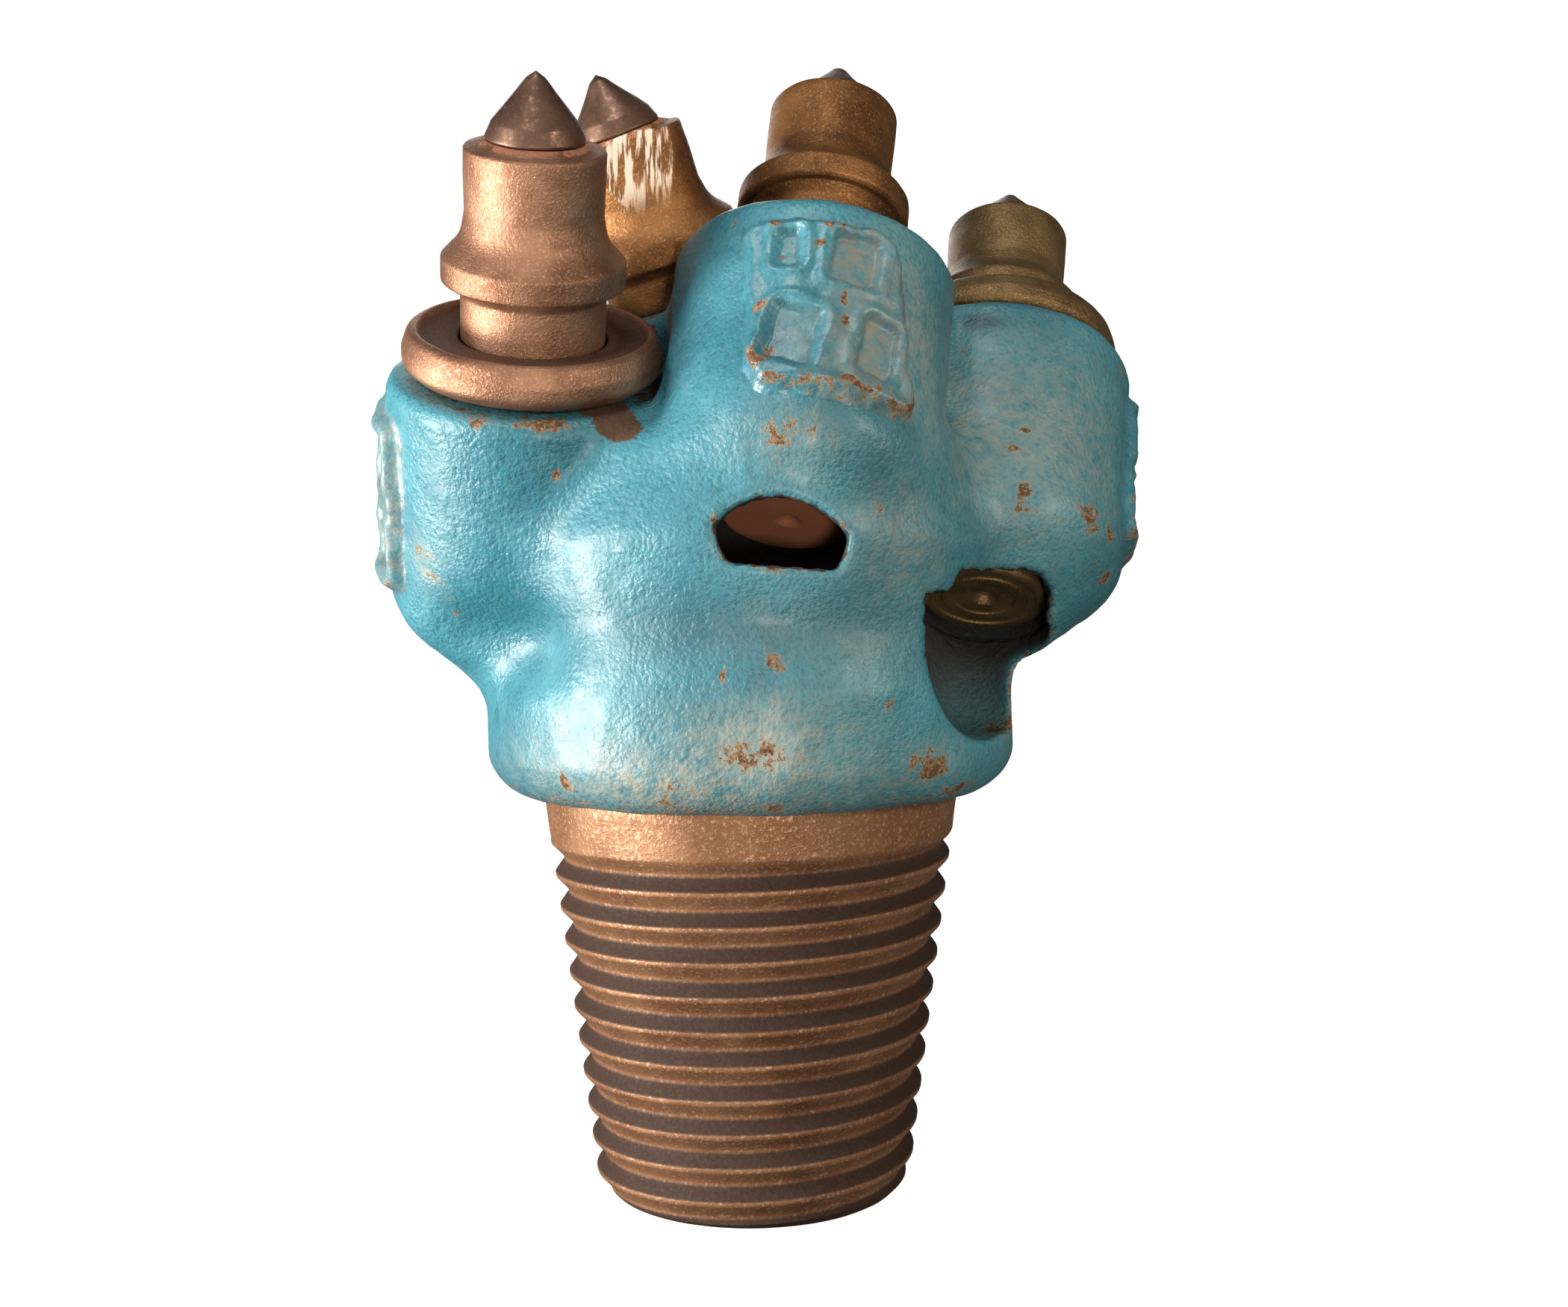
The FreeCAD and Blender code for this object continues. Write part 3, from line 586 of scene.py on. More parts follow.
def castCutters(x, y, z):
    # Distances to the machined seats and to the bores, windows and channels
    size = castSettings
    seats, hollows = np.full(np.shape(x), 1e3), np.full(np.shape(x), 1e3)
    rough = raggedness(x, y, z) * size["ragged"]
    for name, station in stations.items():
        across, back, up = inStation(name, x, y, z)
        radius = np.hypot(across, back)
        room = size["washerSpotface"] if station["washer"] else size["collarSpotface"]
        seats = np.minimum(seats, np.maximum(radius - room, -up - size["seatDrop"]))
        depth = size["openBoreDepth"] if station["washer"] else size["boreDepth"]
        chamfer = np.clip(up + size["boreChamfer"], 0, 3)
        hollows = np.minimum(hollows, np.maximum(radius - size["bore"] - chamfer, -depth - up))
        if station["washer"]:
            torn = rough * soft(z - size["raggedFrom"], size["raggedRun"])
            opening = channelGap(name, x, y, z, radius, up) + torn
        else:
            opening = windowGap(name, x, y, z) + rough * size["windowRagged"]
        hollows = np.minimum(hollows, opening)
    return seats, hollows


def castDistance(x, y, z):
    size = castSettings
    seats, hollows = castCutters(x, y, z)
    solid = smoothCut(castBlank(x, y, z), seats, size["cutRound"])
    solid = smoothCut(solid, hollows, size["cutRound"])
    socket = np.maximum(np.hypot(x, y) - size["socketRadius"], z - size["socketTop"])
    return np.maximum(np.maximum(solid, -socket), size["shoulder"] - z)


def skinOf(distance, low, high, step):
    # Surface nets: one point in each grid cell that the surface crosses, one quad for each crossed grid line
    axes = [np.arange(a, b, step) for a, b in zip(low, high)]
    x, y, z = np.meshgrid(*axes, indexing="ij", sparse=True)
    x, y, z = np.broadcast_arrays(x, y, z)
    field = np.empty(x.shape, np.float32)
    for i in range(0, x.shape[0], 16):
        field[i:i + 16] = distance(x[i:i + 16], y[i:i + 16], z[i:i + 16])
    shape = np.array(field.shape)
    weights = np.array([shape[1] * shape[2], shape[2], 1])
    total = np.zeros((shape.prod(), 3))
    count = np.zeros(shape.prod(), np.int32)
    quads = []
    for axis in range(3):
        u, v = (axis + 1) % 3, (axis + 2) % 3
        ahead = np.roll(field, -1, axis)
        crossed = (field < 0) != (ahead < 0)
        spot = np.argwhere(crossed)
        keep = (spot[:, axis] < shape[axis] - 1) & (spot[:, u] > 0) & (spot[:, v] > 0)
        spot = spot[keep]
        here = field[tuple(spot.T)]
        there = ahead[tuple(spot.T)]
        point = spot.astype(float)
        point[:, axis] += here / (here - there)
        cells = []
        for du, dv in ((0, 0), (-1, 0), (-1, -1), (0, -1)):
            cell = spot.copy()
            cell[:, u] += du
            cell[:, v] += dv
            cell = cell @ weights
            for k in range(3):
                total[:, k] += np.bincount(cell, point[:, k], len(total))
            count += np.bincount(cell, minlength=len(count)).astype(np.int32)
            cells.append(cell)
        cells = np.stack(cells, 1)
        quads.append(np.where((here < 0)[:, None], cells, cells[:, ::-1]))
    used = np.flatnonzero(count)
    index = np.zeros(len(count), np.int64)
    index[used] = np.arange(len(used))
    points = total[used] / count[used][:, None] * step + np.array(low)
    # Two small steps along the slope bring each point onto the surface
    for _ in range(2):
        value = distance(*points.T)
        slope = np.stack([distance(*(points + e).T) - value for e in np.eye(3) * 0.05], 1) / 0.05
        slope /= np.maximum((slope ** 2).sum(1), 0.25)[:, None]
        points = points - np.clip(value[:, None] * slope, -0.4 * step, 0.4 * step)
    return points, index[np.concatenate(quads)]


def curvature(mesh, rounds):
    # How far each point stands out from its neighbours, in millimetres, smoothed
    points, normals = vertexTable(mesh, "co") / mm, vertexTable(mesh, "normal")
    edges = np.empty(len(mesh.edges) * 2, np.int64)
    mesh.edges.foreach_get("vertices", edges)
    a, b = edges.reshape(-1, 2).T
    run = points[b] - points[a]
    bend = ((normals[b] - normals[a]) * run).sum(1) / np.maximum((run ** 2).sum(1), 1e-6)
    n = len(points)
    degree = np.maximum(np.bincount(a, minlength=n) + np.bincount(b, minlength=n), 1)
    value = (np.bincount(a, bend, n) + np.bincount(b, bend, n)) / degree
    for _ in range(rounds):
        value = 0.5 * value + 0.5 * (np.bincount(a, value[b], n) + np.bincount(b, value[a], n)) / degree
    return value


def marks(points, entries):
    # The strongest of the marks at each point, fading out round each mark's middle
    value = np.zeros(len(points))
    for x, y, z, wide, tall, strength in entries:
        level = ((points[:, 0] - x) ** 2 + (points[:, 1] - y) ** 2) / wide ** 2
        value = np.maximum(value, strength * np.exp(-(level + (points[:, 2] - z) ** 2 / tall ** 2)))
    return np.clip(value, 0, 1)


def chipMarks(points):
    # The chips seen, the same half a turn round for the back, and small ones scattered over the head
    seen = castWear["chip"]
    behind = [(-x, -y, *rest) for x, y, *rest in seen]
    rng = np.random.default_rng(castWear["seed"])
    count = castWear["scattered"]
    spots = points[rng.integers(0, len(points), count)]
    widths, ratios = rng.uniform(0.5, 2.0, count), rng.uniform(0.7, 2.0, count)
    strengths = rng.uniform(0.30, 0.62, count)
    scattered = np.column_stack([spots, widths, widths * ratios, strengths]).tolist()
    height, run, strength = castWear["lowEdge"]
    lowEdge = strength * np.exp(-((points[:, 2] - height) / run) ** 2)
    return np.maximum(marks(points, seen + behind + scattered), lowEdge)


def onCut(gap):
    # One on a cut surface, down to nothing 0.6 away from it
    return np.clip(1.0 - (gap - 0.1) / 0.5, 0, 1)


def wearHead(head, points):
    # Paints the masks that the enamel reads, and keeps the machined seats and bores free of lumps
    seatGap, hollowGap = castCutters(*points.T)
    sunk = -castBlank(*points.T)   # how far inside the uncut head a point of a bore or window lies
    inHollow, onSeat = onCut(hollowGap), onCut(seatGap)
    inChannel = (points[:, 2] < castWear["channelTop"]) * (np.abs(points[:, 0]) > castWear["channelBeyond"])
    rim = inHollow * np.clip(1.3 - sunk / 2.0, 0, castWear["rimBare"])
    rim = rim * np.where(inChannel, castWear["channelShare"], 1.0)
    bare = np.maximum(rim, onSeat * castWear["seatBare"])
    # painted shade: channels darker further up, the other hollows darker the deeper they lie
    paintedShade = 0.40 + 0.57 * soft(points[:, 2] - castWear["shadeFoot"], castWear["shadeRun"])
    dark = np.clip((sunk - 0.8) / 4.0, 0, castWear["darkest"])
    deep = np.where(inChannel, paintedShade * soft(sunk, 1.6), dark)
    edge = np.clip(curvature(head.data, 3) * castWear["edgeGain"], 0, 1)
    paintMasks(head, edge=edge, bare=np.maximum(bare, marks(points, castWear["bare"])), grime=inHollow * deep,
               chip=chipMarks(points), dust=marks(points, castWear["dust"]),
               stain=marks(points, castWear["stain"]))
    rawSkin = head.vertex_groups.new(name="raw_skin")
    rawShare = np.rint(4 * (1 - np.maximum(inHollow, onSeat))).astype(int)
    for level in range(1, 5):
        rawSkin.add(np.flatnonzero(rawShare == level).tolist(), level / 4, "REPLACE")


print("shaping the cast head")
castPoints, castFaces = skinOf(castDistance, castSettings["gridLow"], castSettings["gridHigh"],
                               castSettings["grid"])
castHead = meshObject("cast_head", castPoints, castFaces)
print("cast head:", len(castHead.data.vertices), "points")
wearHead(castHead, castPoints)
lumps(castHead, "cast_waves", *castSettings["waves"], "raw_skin")
lumps(castHead, "cast_pits", *castSettings["pits"], "raw_skin")
paintFinish("cast_enamel", paintSettings).wear(castHead)
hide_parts("pilot_casting")
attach(castHead, "head")

# The pin's taper and thread. Heights count from the shoulder plane, and the pin hangs below it
pinSettings = {
    "largeRadius": 33.34, "taper": 0.125, "length": 63.5, "top": 1.6, "chamfer": 2.0,
    "pitch": 5.36, "depth": 1.7, "crest": 0.75, "root": 0.6, "firstGroove": -9.4, "neckEnd": -8.2,
    "phase": 180.0, "segments": 240, "sharpAngle": 50.0, "waves": (6.0, 0.12),
}


def threadRows(size):
    # Rows of points follow the helix, so that crests and roots run clean round the pin and past both its ends
    crestEdge = size["crest"] / 2
    flank = (size["pitch"] - size["crest"] - size["root"]) / 2
    # half a pitch of the profile, downward from the middle of a crest: drop, share of the depth
    knots = [(0.0, 0.0), (size["crest"] * 0.36, 0.0), (crestEdge, 0.03), (crestEdge + 0.18, 0.12),
             (crestEdge + flank * 0.33, 0.36), (crestEdge + flank * 0.66, 0.69),
             (crestEdge + flank * 0.93, 0.95), (size["pitch"] / 2 - size["root"] * 0.2, 1.0)]
    # painted shade: how dark each knot of the profile is painted, the upward flanks nearly black
    darkness = [0.0, 0.25, 0.7, 1.0, 1.0, 1.0, 1.0, 0.6]   # the flanks that face up are nearly black
    profile = [(drop, depth, 0.0) for drop, depth in knots]
    climb = list(zip(knots, darkness))[:0:-1]
    profile += [(size["pitch"] - drop, depth, paintedShade) for (drop, depth), paintedShade in climb]
    angle = np.linspace(0, 2 * math.pi, size["segments"] + 1)
    rise = (angle - math.radians(size["phase"])) / (2 * math.pi) * size["pitch"]
    points, dark = [], []
    for turn in range(int(size["length"] / size["pitch"]) + 4):
        for drop, depth, paintedShade in profile:
            height = size["firstGroove"] + size["pitch"] * 2.5 - turn * size["pitch"] - drop + rise
            radius = size["largeRadius"] + size["taper"] * np.minimum(height, 0)
            fade = soft(size["neckEnd"] + 3.2 - height, 3.0)   # the groove runs out into the neck
            footRadius = size["largeRadius"] - size["taper"] * size["length"] - size["chamfer"]
            bevel = footRadius + (height + size["length"])
            radius = np.minimum(radius - depth * size["depth"] * fade, bevel)
            points.append(aroundAxis(radius, angle, height))
            dark.append(paintedShade * fade)
    return points, dark, len(profile)


def threadedPin(size):
    # Stitches the rows, each row's end to the row one pitch further down, and trims top and foot flat
    points, dark, rows = threadRows(size)
    work = bmesh.new()
    shade = work.verts.layers.float.new("shade")
    made = []
    for row, paintedShade in zip(points, dark):
        made.append([work.verts.new(Vector(point)) for point in row[:-1]])
        for vertex, value in zip(made[-1], paintedShade):
            vertex[shade] = value
    segments = size["segments"]
    for i in range(len(made) - 1):
        for k in range(segments):
            if k < segments - 1:
                work.faces.new((made[i][k], made[i + 1][k], made[i + 1][k + 1], made[i][k + 1]))
            elif i >= rows:
                work.faces.new((made[i][k], made[i + 1][k], made[i + 1 - rows][0], made[i - rows][0]))
    for height, facing in ((size["top"], 1), (-size["length"], -1)):
        everything = work.verts[:] + work.edges[:] + work.faces[:]
        bmesh.ops.bisect_plane(work, geom=everything, plane_co=(0, 0, height), plane_no=(0, 0, facing),
                               clear_outer=True)
    bmesh.ops.remove_doubles(work, verts=work.verts, dist=0.002)
    loose = [edge for edge in work.edges if edge.is_boundary]
    print("thread trimmed:", len(loose), "edges round its ends to close")
    bmesh.ops.holes_fill(work, edges=loose, sides=0)
    bmesh.ops.recalc_face_normals(work, faces=work.faces)
    mesh = bpy.data.meshes.new("threaded_pin_skin")
    work.to_mesh(mesh)
    work.free()
    mesh.transform(Matrix.Scale(mm, 4))
    mesh.shade_smooth()
    mesh.set_sharp_from_angle(angle=math.radians(size["sharpAngle"]))
    return linked("thread_and_neck", mesh)


print("cutting the thread")
threadPiece = threadedPin(pinSettings)
lumps(threadPiece, "pin_waves", *pinSettings["waves"])
steelFinish("browned_pin", "pin").wear(threadPiece)
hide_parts("threaded_pin")
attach(threadPiece, "head")

# The picks are turned from outlines of radius, height over the collar's underside, and rounding
pickSettings = {
    "segments": 144, "tipSegments": 96, "headTop": 19.8, "dents": (5.0, 0.14), "tipDents": (4.0, 0.16),
    "outline": [(0, 16.8), (5.4, 16.8), (5.5, 20.5, 0.2), (7.3, 20.9, 0.5), (8.7, 20.2, 0.8),
                (9.6, 19.95, 0.3), (10.3, 19.8, 0.5), (10.3, 15.5, 6.0), (10.15, 10.4, 2.5),
                (10.8, 6.9, 5.0), (13.6, 3.9, 0.7), (13.6, 0.45, 0.5), (12.9, 0, 0.3), (12.1, 0, 0.2),
                (10.8, -1.3, 0.9), (10.8, -13, 0.3), (9.2, -13), (9.2, -48), (10.2, -48, 0.2),
                (10.2, -52.2, 1.0)],
    "plainFoot": [(2.0, -52.2, 0.6), (1.0, -51.5, 0.4), (0, -51.2)],
    "ringedFoot": [(8.3, -52.2, 0.2), (8.1, -51.8, 0.2), (6.9, -51.8, 0.2), (6.7, -52.2, 0.2),
                   (4.9, -52.2, 0.2), (4.7, -51.9, 0.2), (2.2, -51.9, 0.3), (1.2, -50.6, 0.3), (0, -50.1)],
    "tip": [(0, -2.9), (5.3, -2.9), (5.3, 0.8), (7.35, 1.2, 0.4), (6.9, 2.2, 0.7), (6.3, 3.6, 0.7),
            (1.35, 10.0, 1.5), (0, 10.9)],
    # how much taller a head is, outside its tip's socket, and how much a tip has worn down
    "headRise": {"left": 0.0, "right": 0.4, "front": 0.8, "rear": 0.0}, "socketRadius": 5.45,
    "tipWear": {"left": 0.2, "right": 0.5, "front": 0.1, "rear": 0.4},
    "finish": {"left": "rose", "right": "olive", "front": "amber", "rear": "amber"},
    # rust on the braze round the tip, then on the shank's foot
    "brazeRadius": 9.4, "brazeFrom": 19.4, "brazeRust": 0.55,
    "footTop": -44.0, "footRust": {"left": 0.6, "right": 0.0, "front": 1.0, "rear": 0.8},
    # the rear pick's ground flat: distance from the axis at the head's top, lean and bearing in degrees
    "flat": {"distance": 7.6, "tilt": 12.0, "toward": -80.0},
}


def beyondFlat(ahead, height):
    # How far points lie beyond the plane of the ground flat
    flat = pickSettings["flat"]
    tilt = math.radians(flat["tilt"])
    return (ahead - flat["distance"]) * math.cos(tilt) + (height - pickSettings["headTop"]) * math.sin(tilt)


def groundFlat(turnTo):
    # Presses the points beyond a plane back onto it, as a grinder leaves them
    tilt = math.radians(pickSettings["flat"]["tilt"])

    def shape(radius, angle, height):
        x, y = radius * np.cos(angle - turnTo), radius * np.sin(angle - turnTo)
        push = np.maximum(beyondFlat(x, height), 0) * soft(height - 7.5, 3.0)
        x, height = x - push * math.cos(tilt), height - push * math.sin(tilt)
        return np.hypot(x, y), np.arctan2(y, x) + turnTo, height
    return shape


picks = {}
for kind in ("rose", "amber", "olive"):
    picks[kind] = steelFinish(f"{kind}_blasted_steel", kind)
tipFinish = steelFinish("worn_carbide", "carbide")
for name, station in stations.items():
    rise, wear = pickSettings["headRise"][name], pickSettings["tipWear"][name]
    flatTurn = math.radians(pickSettings["flat"]["toward"] - station["toward"])
    flat = groundFlat(flatTurn) if name == "rear" else None
    foot = pickSettings["ringedFoot" if name == "right" else "plainFoot"]
    outline = roundedOutline(pickSettings["outline"] + foot)
    outline[:, 1] += rise * soft(outline[:, 1] - 11.0, 8.0) * (outline[:, 0] > pickSettings["socketRadius"])
    body = turned(f"{name}_pick_steel", outline, pickSettings["segments"],
                  stationPlace(name, collarHeight(name)), flat)
    across, back, up = pointsInStation(body, name, collarHeight(name))
    braze = soft(pickSettings["brazeRadius"] - np.hypot(across, back), 1.2)
    braze = braze * soft(up - pickSettings["brazeFrom"] - rise, 0.5)
    footRust = soft(pickSettings["footTop"] - up, 3.0) * pickSettings["footRust"][name]
    paintMasks(body, rust=np.maximum(braze * pickSettings["brazeRust"], footRust))
    if name == "rear":
        off = beyondFlat(across * math.cos(flatTurn) + back * math.sin(flatTurn), up)
        paintMasks(body, ground=soft(0.25 + off, 0.2) * soft(up - 8.0, 6.0))
    lumps(body, f"{name}_pick_dents", *pickSettings["dents"])
    picks[pickSettings["finish"][name]].wear(body)
    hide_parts(f"{name}_pick_body")
    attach(body, f"{name}_pick")
    outline = roundedOutline(pickSettings["tip"], 0.4)
    outline[:, 1] -= wear * soft(outline[:, 1] - 4.0, 6.0)
    tip = turned(f"{name}_tip_cone", outline, pickSettings["tipSegments"],
                 stationPlace(name, collarHeight(name) + pickSettings["headTop"]))
    lumps(tip, f"{name}_tip_dents", *pickSettings["tipDents"])
    tipFinish.wear(tip)
    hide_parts(f"{name}_carbide_tip")
    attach(tip, f"{name}_pick")
print("picks turned")

# The dished washers: outline of radius and height above the seat, and the ring of painted shade in the dish
# under the collar
washerSettings = {
    "segments": 144, "dents": (6.0, 0.2),
    "outline": [(11.15, 0.1), (17.2, 0.1, 2.4), (19.45, 2.0, 1.6), (19.5, 4.2, 2.2), (18.6, 6.9, 1.5),
                (17.3, 7.2, 0.5), (16.6, 6.1, 1.0), (12.9, 5.8, 1.2), (11.15, 6.1, 0.4), (11.15, 0.1)],
    "shadeRadius": 17.4, "shadeFrom": 4.0, "shade": 0.80,
    "finish": {"left": "rose", "right": "olive"},
}
for name in ("left", "right"):
    outline = roundedOutline(washerSettings["outline"])[:-1]
    washer = turned(f"{name}_dished_washer", outline, washerSettings["segments"], stationPlace(name))
    across, back, up = pointsInStation(washer, name)
    # painted shade over the dish, inside the rim
    under = soft(washerSettings["shadeRadius"] - np.hypot(across, back), 0.8)
    paintMasks(washer, shade=washerSettings["shade"] * under * soft(up - washerSettings["shadeFrom"], 1.0))
    lumps(washer, f"{name}_washer_dents", *washerSettings["dents"])
    picks[washerSettings["finish"][name]].wear(washer)
    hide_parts(f"{name}_wear_washer")
    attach(washer, f"{name}_washer")
print("washers turned")

# Hardfacing pads: a sheet of weld bead round each boss, with four recesses that hold the wear plates
padSettings = {
    "thickness": 1.4, "thinner": {"right": 0.5}, "top": -4.8, "height": 28.6, "corner": 4.0,
    "bossRadius": 21.8, "span": 18.0, "margin": 2.2, "step": 0.35, "sunk": 2.6, "bead": 0.42, "lip": 0.55,
    "recessCorner": 1.3, "recessFloor": 0.32, "seed": 40,
}
padShapes = {   # middle and width at the top, then at the foot
    "front": (-2.4, 24.2, 2.6, 26.4), "left": (0.2, 25.0, 1.4, 26.0), "right": (1.7, 23.4, 1.2, 24.2),
    "rear": (0.4, 22.6, -0.6, 24.0),
}
recesses = {   # centre across to the right, centre height, width, height, and lean in degrees, from outside
    "front": [(-6.4, -10.4, 3.6, 6.8, 4), (3.0, -11.2, 7.0, 8.2, -2),
              (-4.6, -24.4, 7.2, 9.6, -9), (7.4, -24.4, 5.6, 9.4, -7)],
    "left": [(-5.2, -12.2, 7.0, 8.8, 0), (6.2, -12.6, 7.2, 8.6, 3),
             (-4.8, -25.8, 7.0, 9.2, -4), (6.8, -25.4, 6.8, 9.0, 2)],
    "right": [(-4.2, -12.4, 6.8, 9.0, 2), (7.2, -12.0, 7.0, 8.8, -3),
              (-4.4, -25.8, 7.2, 8.8, 3), (7.2, -25.6, 7.0, 9.2, 0)],
    "rear": [(-5.6, -12.4, 7.0, 8.8, -2), (5.8, -12.2, 7.0, 9.0, 2),
             (-5.8, -25.6, 6.8, 9.2, 3), (5.6, -25.9, 7.2, 9.0, -3)],
}
frontChips = [   # chips on the front pad: across, height, half width, half height, strength
    (0.6, -5.6, 1.2, 1.2, 0.7), (-1.2, -6.6, 0.8, 0.8, 0.7), (-8.5, -6.2, 2.0, 1.0, 0.6),
    (-2.4, -9.8, 0.8, 0.8, 0.6), (-7.4, -11.4, 0.9, 0.8, 0.6), (-9.2, -20.4, 1.3, 1.3, 0.6),
    (1.8, -17.8, 0.7, 2.4, 0.6), (2.3, -21.4, 0.8, 1.2, 0.7), (-7.4, -27.6, 1.6, 1.6, 0.60),
    (3.0, -30.6, 2.2, 0.9, 0.6), (8.0, -31.0, 1.2, 0.6, 0.6), (14.0, -28.6, 1.0, 2.4, 0.7),
    (11.2, -16.0, 0.6, 2.0, 0.55), (12.6, -20.0, 0.6, 2.0, 0.55),
]
frontBare = [   # metal shining through on the front pad, given in the same way
    (13.9, -29.0, 1.2, 2.6, 1.0), (-8.6, -29.2, 1.6, 0.9, 0.9), (3.4, -31.2, 2.2, 0.8, 0.9),
    (-1.9, -9.4, 0.7, 0.9, 0.7),
]
weldPaintSettings = {
    **paintSettings, "dust": (0.210, 0.215, 0.185), "steel": (0.320, 0.190, 0.095), "roughness": 0.36,
    "coat": 0.25, "peelDepth": 0.13, "rippleDepth": 0.08,
}


def waves(x, y, seed):
    # Uneven swells of four widths, each running three random ways
    rng = np.random.default_rng(seed)
    total = np.zeros(np.shape(x))
    for width in (9.0, 5.0, 3.2, 2.1):
        for _ in range(3):
            angle, phase = rng.uniform(0, 2 * math.pi, 2)
            along = x * math.cos(angle) + y * math.sin(angle)
            total += np.sin(along * 2 * math.pi / width + phase) * width / 9
    return total / 4


def padRelief(name, seed, across, up):
    # How far the weld stands off the boss, the share of recess floor, and how far in from the edge a point is
    size = padSettings
    wobble = waves(across, up, seed)
    topMiddle, topWidth, footMiddle, footWidth = padShapes[name]
    share = np.clip((size["top"] - up) / size["height"], 0, 1)
    middle = topMiddle + (footMiddle - topMiddle) * share
    width = topWidth + (footWidth - topWidth) * share
    centre = size["top"] - size["height"] / 2
    edge = -roundBox(across - middle, up - centre, width, size["height"], size["corner"]) + 0.5 * wobble
    thickness = size["thickness"] - size["thinner"].get(name, 0.0)
    proud = thickness * soft(edge, 1.9) * (1 + 0.16 * waves(across * 0.8, up * 0.8, seed + 5))
    proud += size["bead"] * np.exp(-((edge - 2.2) / 1.1) ** 2)
    low = soft(size["top"] + 6.0 - size["height"] - up, 5.0)
    proud += size["lip"] * np.exp(-((edge - 1.5) / 1.2) ** 2) * low
    floor = np.zeros(across.shape)
    for k, (x, y, wide, tall, lean) in enumerate(recesses[name]):
        cosine, sine = math.cos(math.radians(lean)), math.sin(math.radians(lean))
        u, v = (across - x) * cosine + (up - y) * sine, -(across - x) * sine + (up - y) * cosine
        gap = roundBox(u, v, wide, tall, size["recessCorner"])
        gap = gap + 0.35 * waves(across * 1.4, up * 1.4, seed + 9 + k)
        proud += size["bead"] * np.exp(-((gap - 1.0) / 0.8) ** 2)
        floor = np.maximum(floor, soft(-gap + 0.25, 0.9))
    proud += 0.18 * wobble * soft(edge, 2.0)
    lowest = size["recessFloor"] + 0.2 * waves(across * 0.7, up * 0.7, seed + 20)
    proud = proud * (1 - floor) + lowest * floor
    proud = np.where(edge < 0, -size["sunk"] * soft(-edge - 0.2, 1.4), proud)
    return proud, floor, edge


def weldPad(name, seed):
    # The relief bent round its boss, and closed by a plain sheet inside the casting
    size = padSettings
    acrossLine = np.arange(-size["span"], size["span"] + 0.01, size["step"])
    foot = size["top"] - size["height"] - size["margin"]
    upLine = np.arange(foot, size["top"] + size["margin"], size["step"])
    across, up = np.meshgrid(acrossLine, upLine, indexing="ij")
    proud, floor, edge = padRelief(name, seed, across, up)
    angle = across / size["bossRadius"]
    outer = aroundAxis(size["bossRadius"] + proud, angle, up)
    inner = aroundAxis(size["bossRadius"] - size["sunk"] - 1.0, angle, up)
    n, m = across.shape
    points = np.vstack([outer.reshape(-1, 3), inner.reshape(-1, 3)])
    faces = []
    for i in range(n - 1):
        for j in range(m - 1):
            q = i * m + j
            faces.append((q, q + m, q + m + 1, q + 1))
            faces.append((n * m + q, n * m + q + 1, n * m + q + m + 1, n * m + q + m))
    rim = ([i * m for i in range(n)] + [(n - 1) * m + j for j in range(1, m)]
           + [i * m + m - 1 for i in range(n - 2, -1, -1)] + [j for j in range(m - 2, 0, -1)])
    for p, q in zip(rim, rim[1:] + rim[:1]):
        faces.append((p, n * m + p, n * m + q, q))
    place = stationPlace(name, 0.0, stations[name]["padToward"])
    return closedObject(f"{name}_weld_pad", points, faces, place), floor, edge, across, up


def padMarks(across, up, entries):
    # The strongest of a pad's marks at each point
    value = np.zeros(across.shape)
    for x, y, wide, tall, strength in entries:
        value = np.maximum(value, strength * np.exp(-((across - x) / wide) ** 2 - ((up - y) / tall) ** 2))
    return value


def onOuterSheet(values):
    # The pad's inner sheet lies inside the casting and stays clean
    return np.concatenate([values.ravel(), np.zeros(values.size)])


padPaint = paintFinish("weld_enamel", weldPaintSettings)
for order, name in enumerate(stations):
    pad, floor, edge, across, up = weldPad(name, padSettings["seed"] + order)
    worn = 0.38 * np.exp(-((edge - 1.0) / 1.5) ** 2) * soft(-14.0 - up, 20.0)
    worn = np.maximum(worn, padMarks(across, up, frontChips if name == "front" else []))
    shiny = padMarks(across, up, frontBare if name == "front" else [])
    dusty = 0.10 + 0.75 * soft(across + 2.5, 5.0) + 0.45 * floor * soft(across + 9.0, 8.0)
    paintMasks(pad, edge=np.clip(curvature(pad.data, 2) * 1.2, 0, 1) * 0.6, dust=onOuterSheet(dusty),
               chip=onOuterSheet(np.maximum(worn, 0.12 * floor)), bare=onOuterSheet(shiny))
    padPaint.wear(pad)
    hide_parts(f"{name}_hardfacing_pad", f"{name}_wear_plates")
    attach(pad, "head")
print("pads laid")

# The sleeves keep their CAD shape
sleeveFinish = steelFinish("spring_steel", "spring")
for name in stations:
    sleeveFinish.wear(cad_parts[f"{name}_retaining_sleeve"])

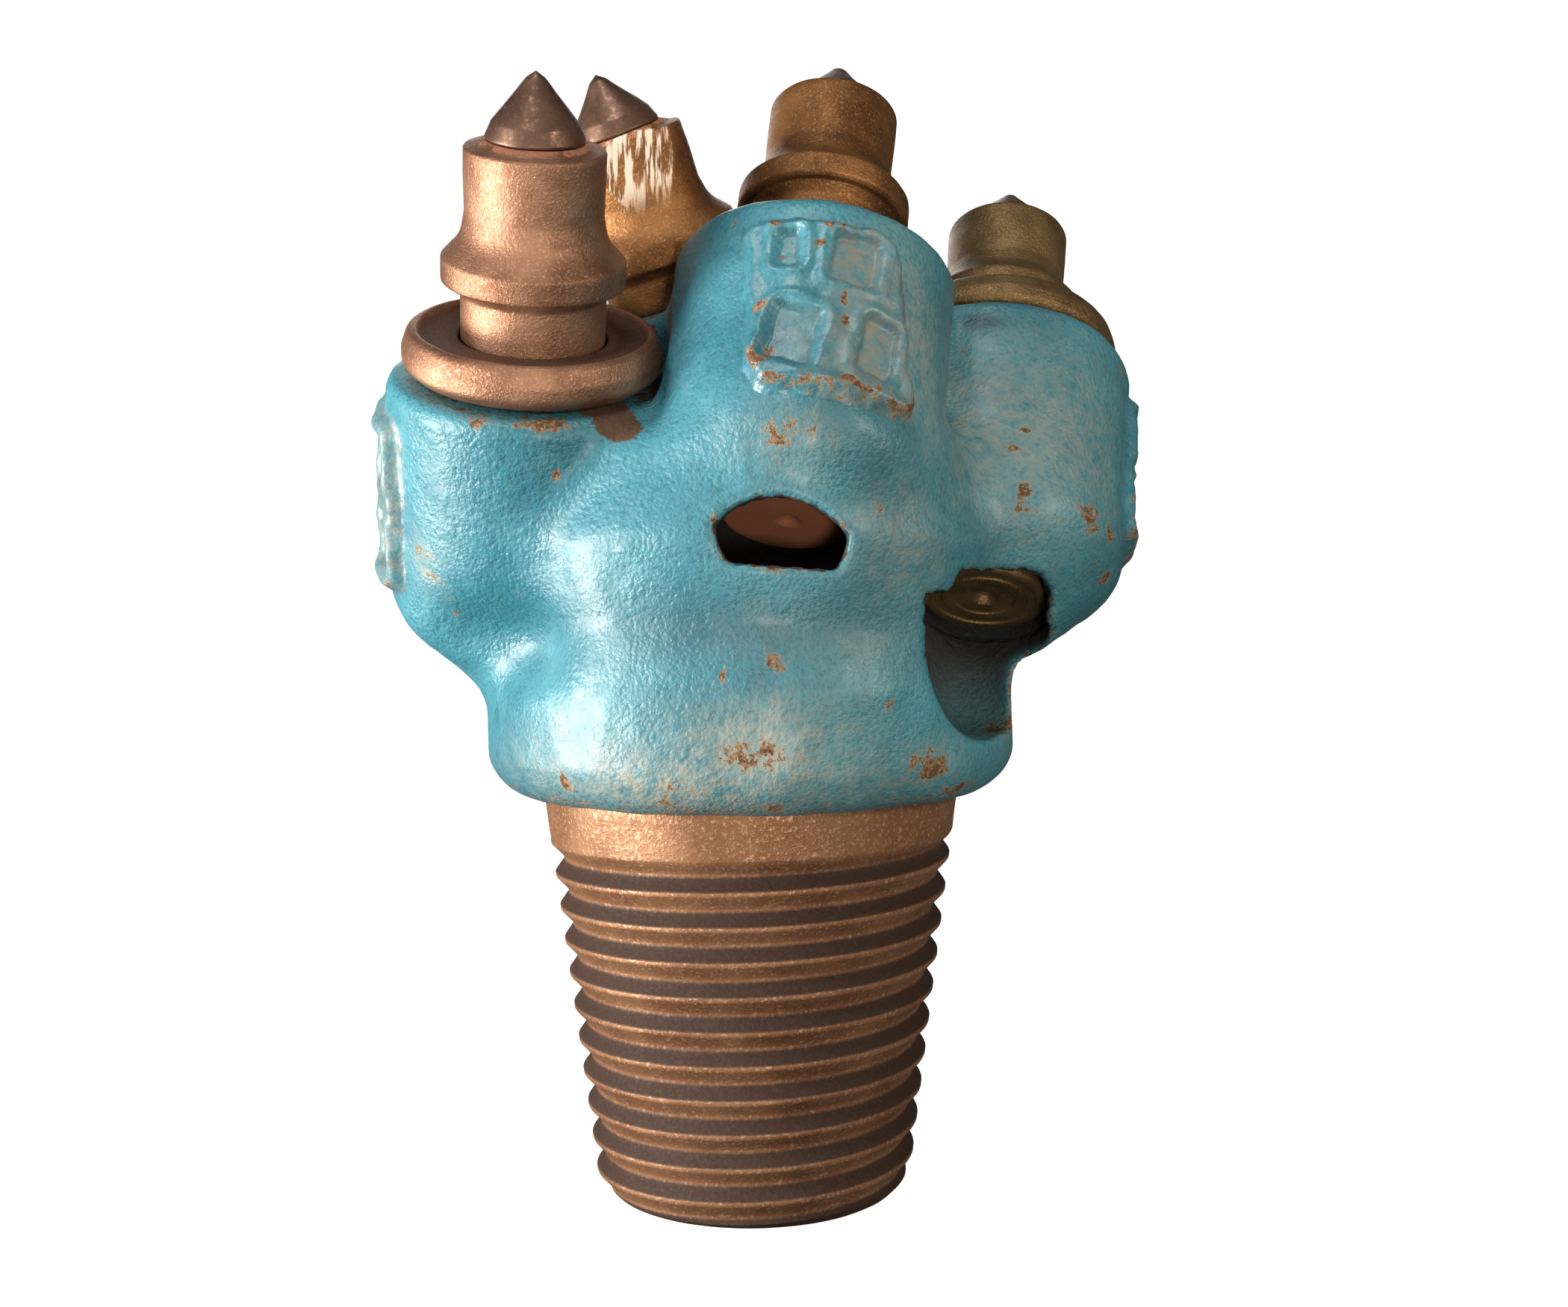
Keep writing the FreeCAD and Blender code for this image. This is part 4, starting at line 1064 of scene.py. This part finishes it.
# A pale floor that curves up behind, and the studio's lamps
studioSettings = {
    "floorLevel": -63.5, "floorWide": 1600.0, "floorBack": 700.0, "wallTop": 1400.0, "coveRadius": 300.0,
    "floorColour": (0.88, 0.88, 0.87), "floorCloud": (0.84, 0.84, 0.83), "floorGlow": 0.80,
    "worldColour": (0.95, 0.97, 1.0), "worldStrength": 0.08, "aimHeight": 35,
    "lights": [   # name, place, size, power, colour
        ("left", (-320, -105, -10), 110, 1.9, (1.0, 0.95, 0.88)),
        ("high left", (-420, -230, 120), 200, 1.6, (1.0, 0.96, 0.90)),
        ("over", (-60, -240, 430), 170, 0.7, (1.0, 0.98, 0.95)),
        ("camera", (60, -400, -25), 60, 0.60, (1.0, 0.90, 0.76)),
        ("right", (330, -300, 160), 130, 0.8, (1.0, 0.88, 0.72)),
        ("behind", (-60, 420, 260), 300, 0.7, (1.0, 1.0, 1.0)),
    ],
}


def stageFloor(size):
    # Rows from front to back, then round the cove and up the wall
    level, wide, cove = size["floorLevel"], size["floorWide"], size["coveRadius"]
    foot = size["floorBack"] - cove
    rows = [(-wide, level), (foot, level)]
    for turn in np.linspace(0.1, math.pi / 2, 12):
        rows.append((foot + cove * math.sin(turn), level + cove - cove * math.cos(turn)))
    rows.append((size["floorBack"], size["wallTop"]))
    points = [(side * wide, y, z) for y, z in rows for side in (-1, 1)]
    faces = [(2 * i, 2 * i + 1, 2 * i + 3, 2 * i + 2) for i in range(len(rows) - 1)]
    return meshObject("floor", points, faces)


floor = stageFloor(studioSettings)
floorFinish = Finish("pale_floor")
clouds = floorFinish.spread(floorFinish.noise(3.0, 3.0, 0.5), 0.3, 0.7)
clouds = floorFinish.blend(clouds, studioSettings["floorCloud"], studioSettings["floorColour"])
floorFinish.surface(colour=clouds, roughness=0.9, glow=(1.0, 1.0, 1.0),
                    glowStrength=studioSettings["floorGlow"])
floorFinish.wear(floor)
floor.visible_diffuse = False   # the part takes its light from the lamps and the world alone
floor.visible_glossy = False
world = bpy.data.worlds.new("studio")
world.use_nodes = True
bpy.context.scene.world = world
background = world.node_tree.nodes["Background"]
background.inputs["Color"].default_value = (*studioSettings["worldColour"], 1)
background.inputs["Strength"].default_value = studioSettings["worldStrength"]
aim = Vector((0, 0, studioSettings["aimHeight"] * mm))
for name, place, size, power, colour in studioSettings["lights"]:
    light = bpy.data.lights.new(name, "AREA")
    light.shape = "DISK"
    light.size = size * mm
    light.energy = power
    light.color = colour
    lamp = bpy.data.objects.new(name, light)
    lamp.location = Vector(place) * mm
    lamp.rotation_euler = (aim - lamp.location).to_track_quat("-Z", "Y").to_euler()
    bpy.context.scene.collection.objects.link(lamp)
print("studio lit")
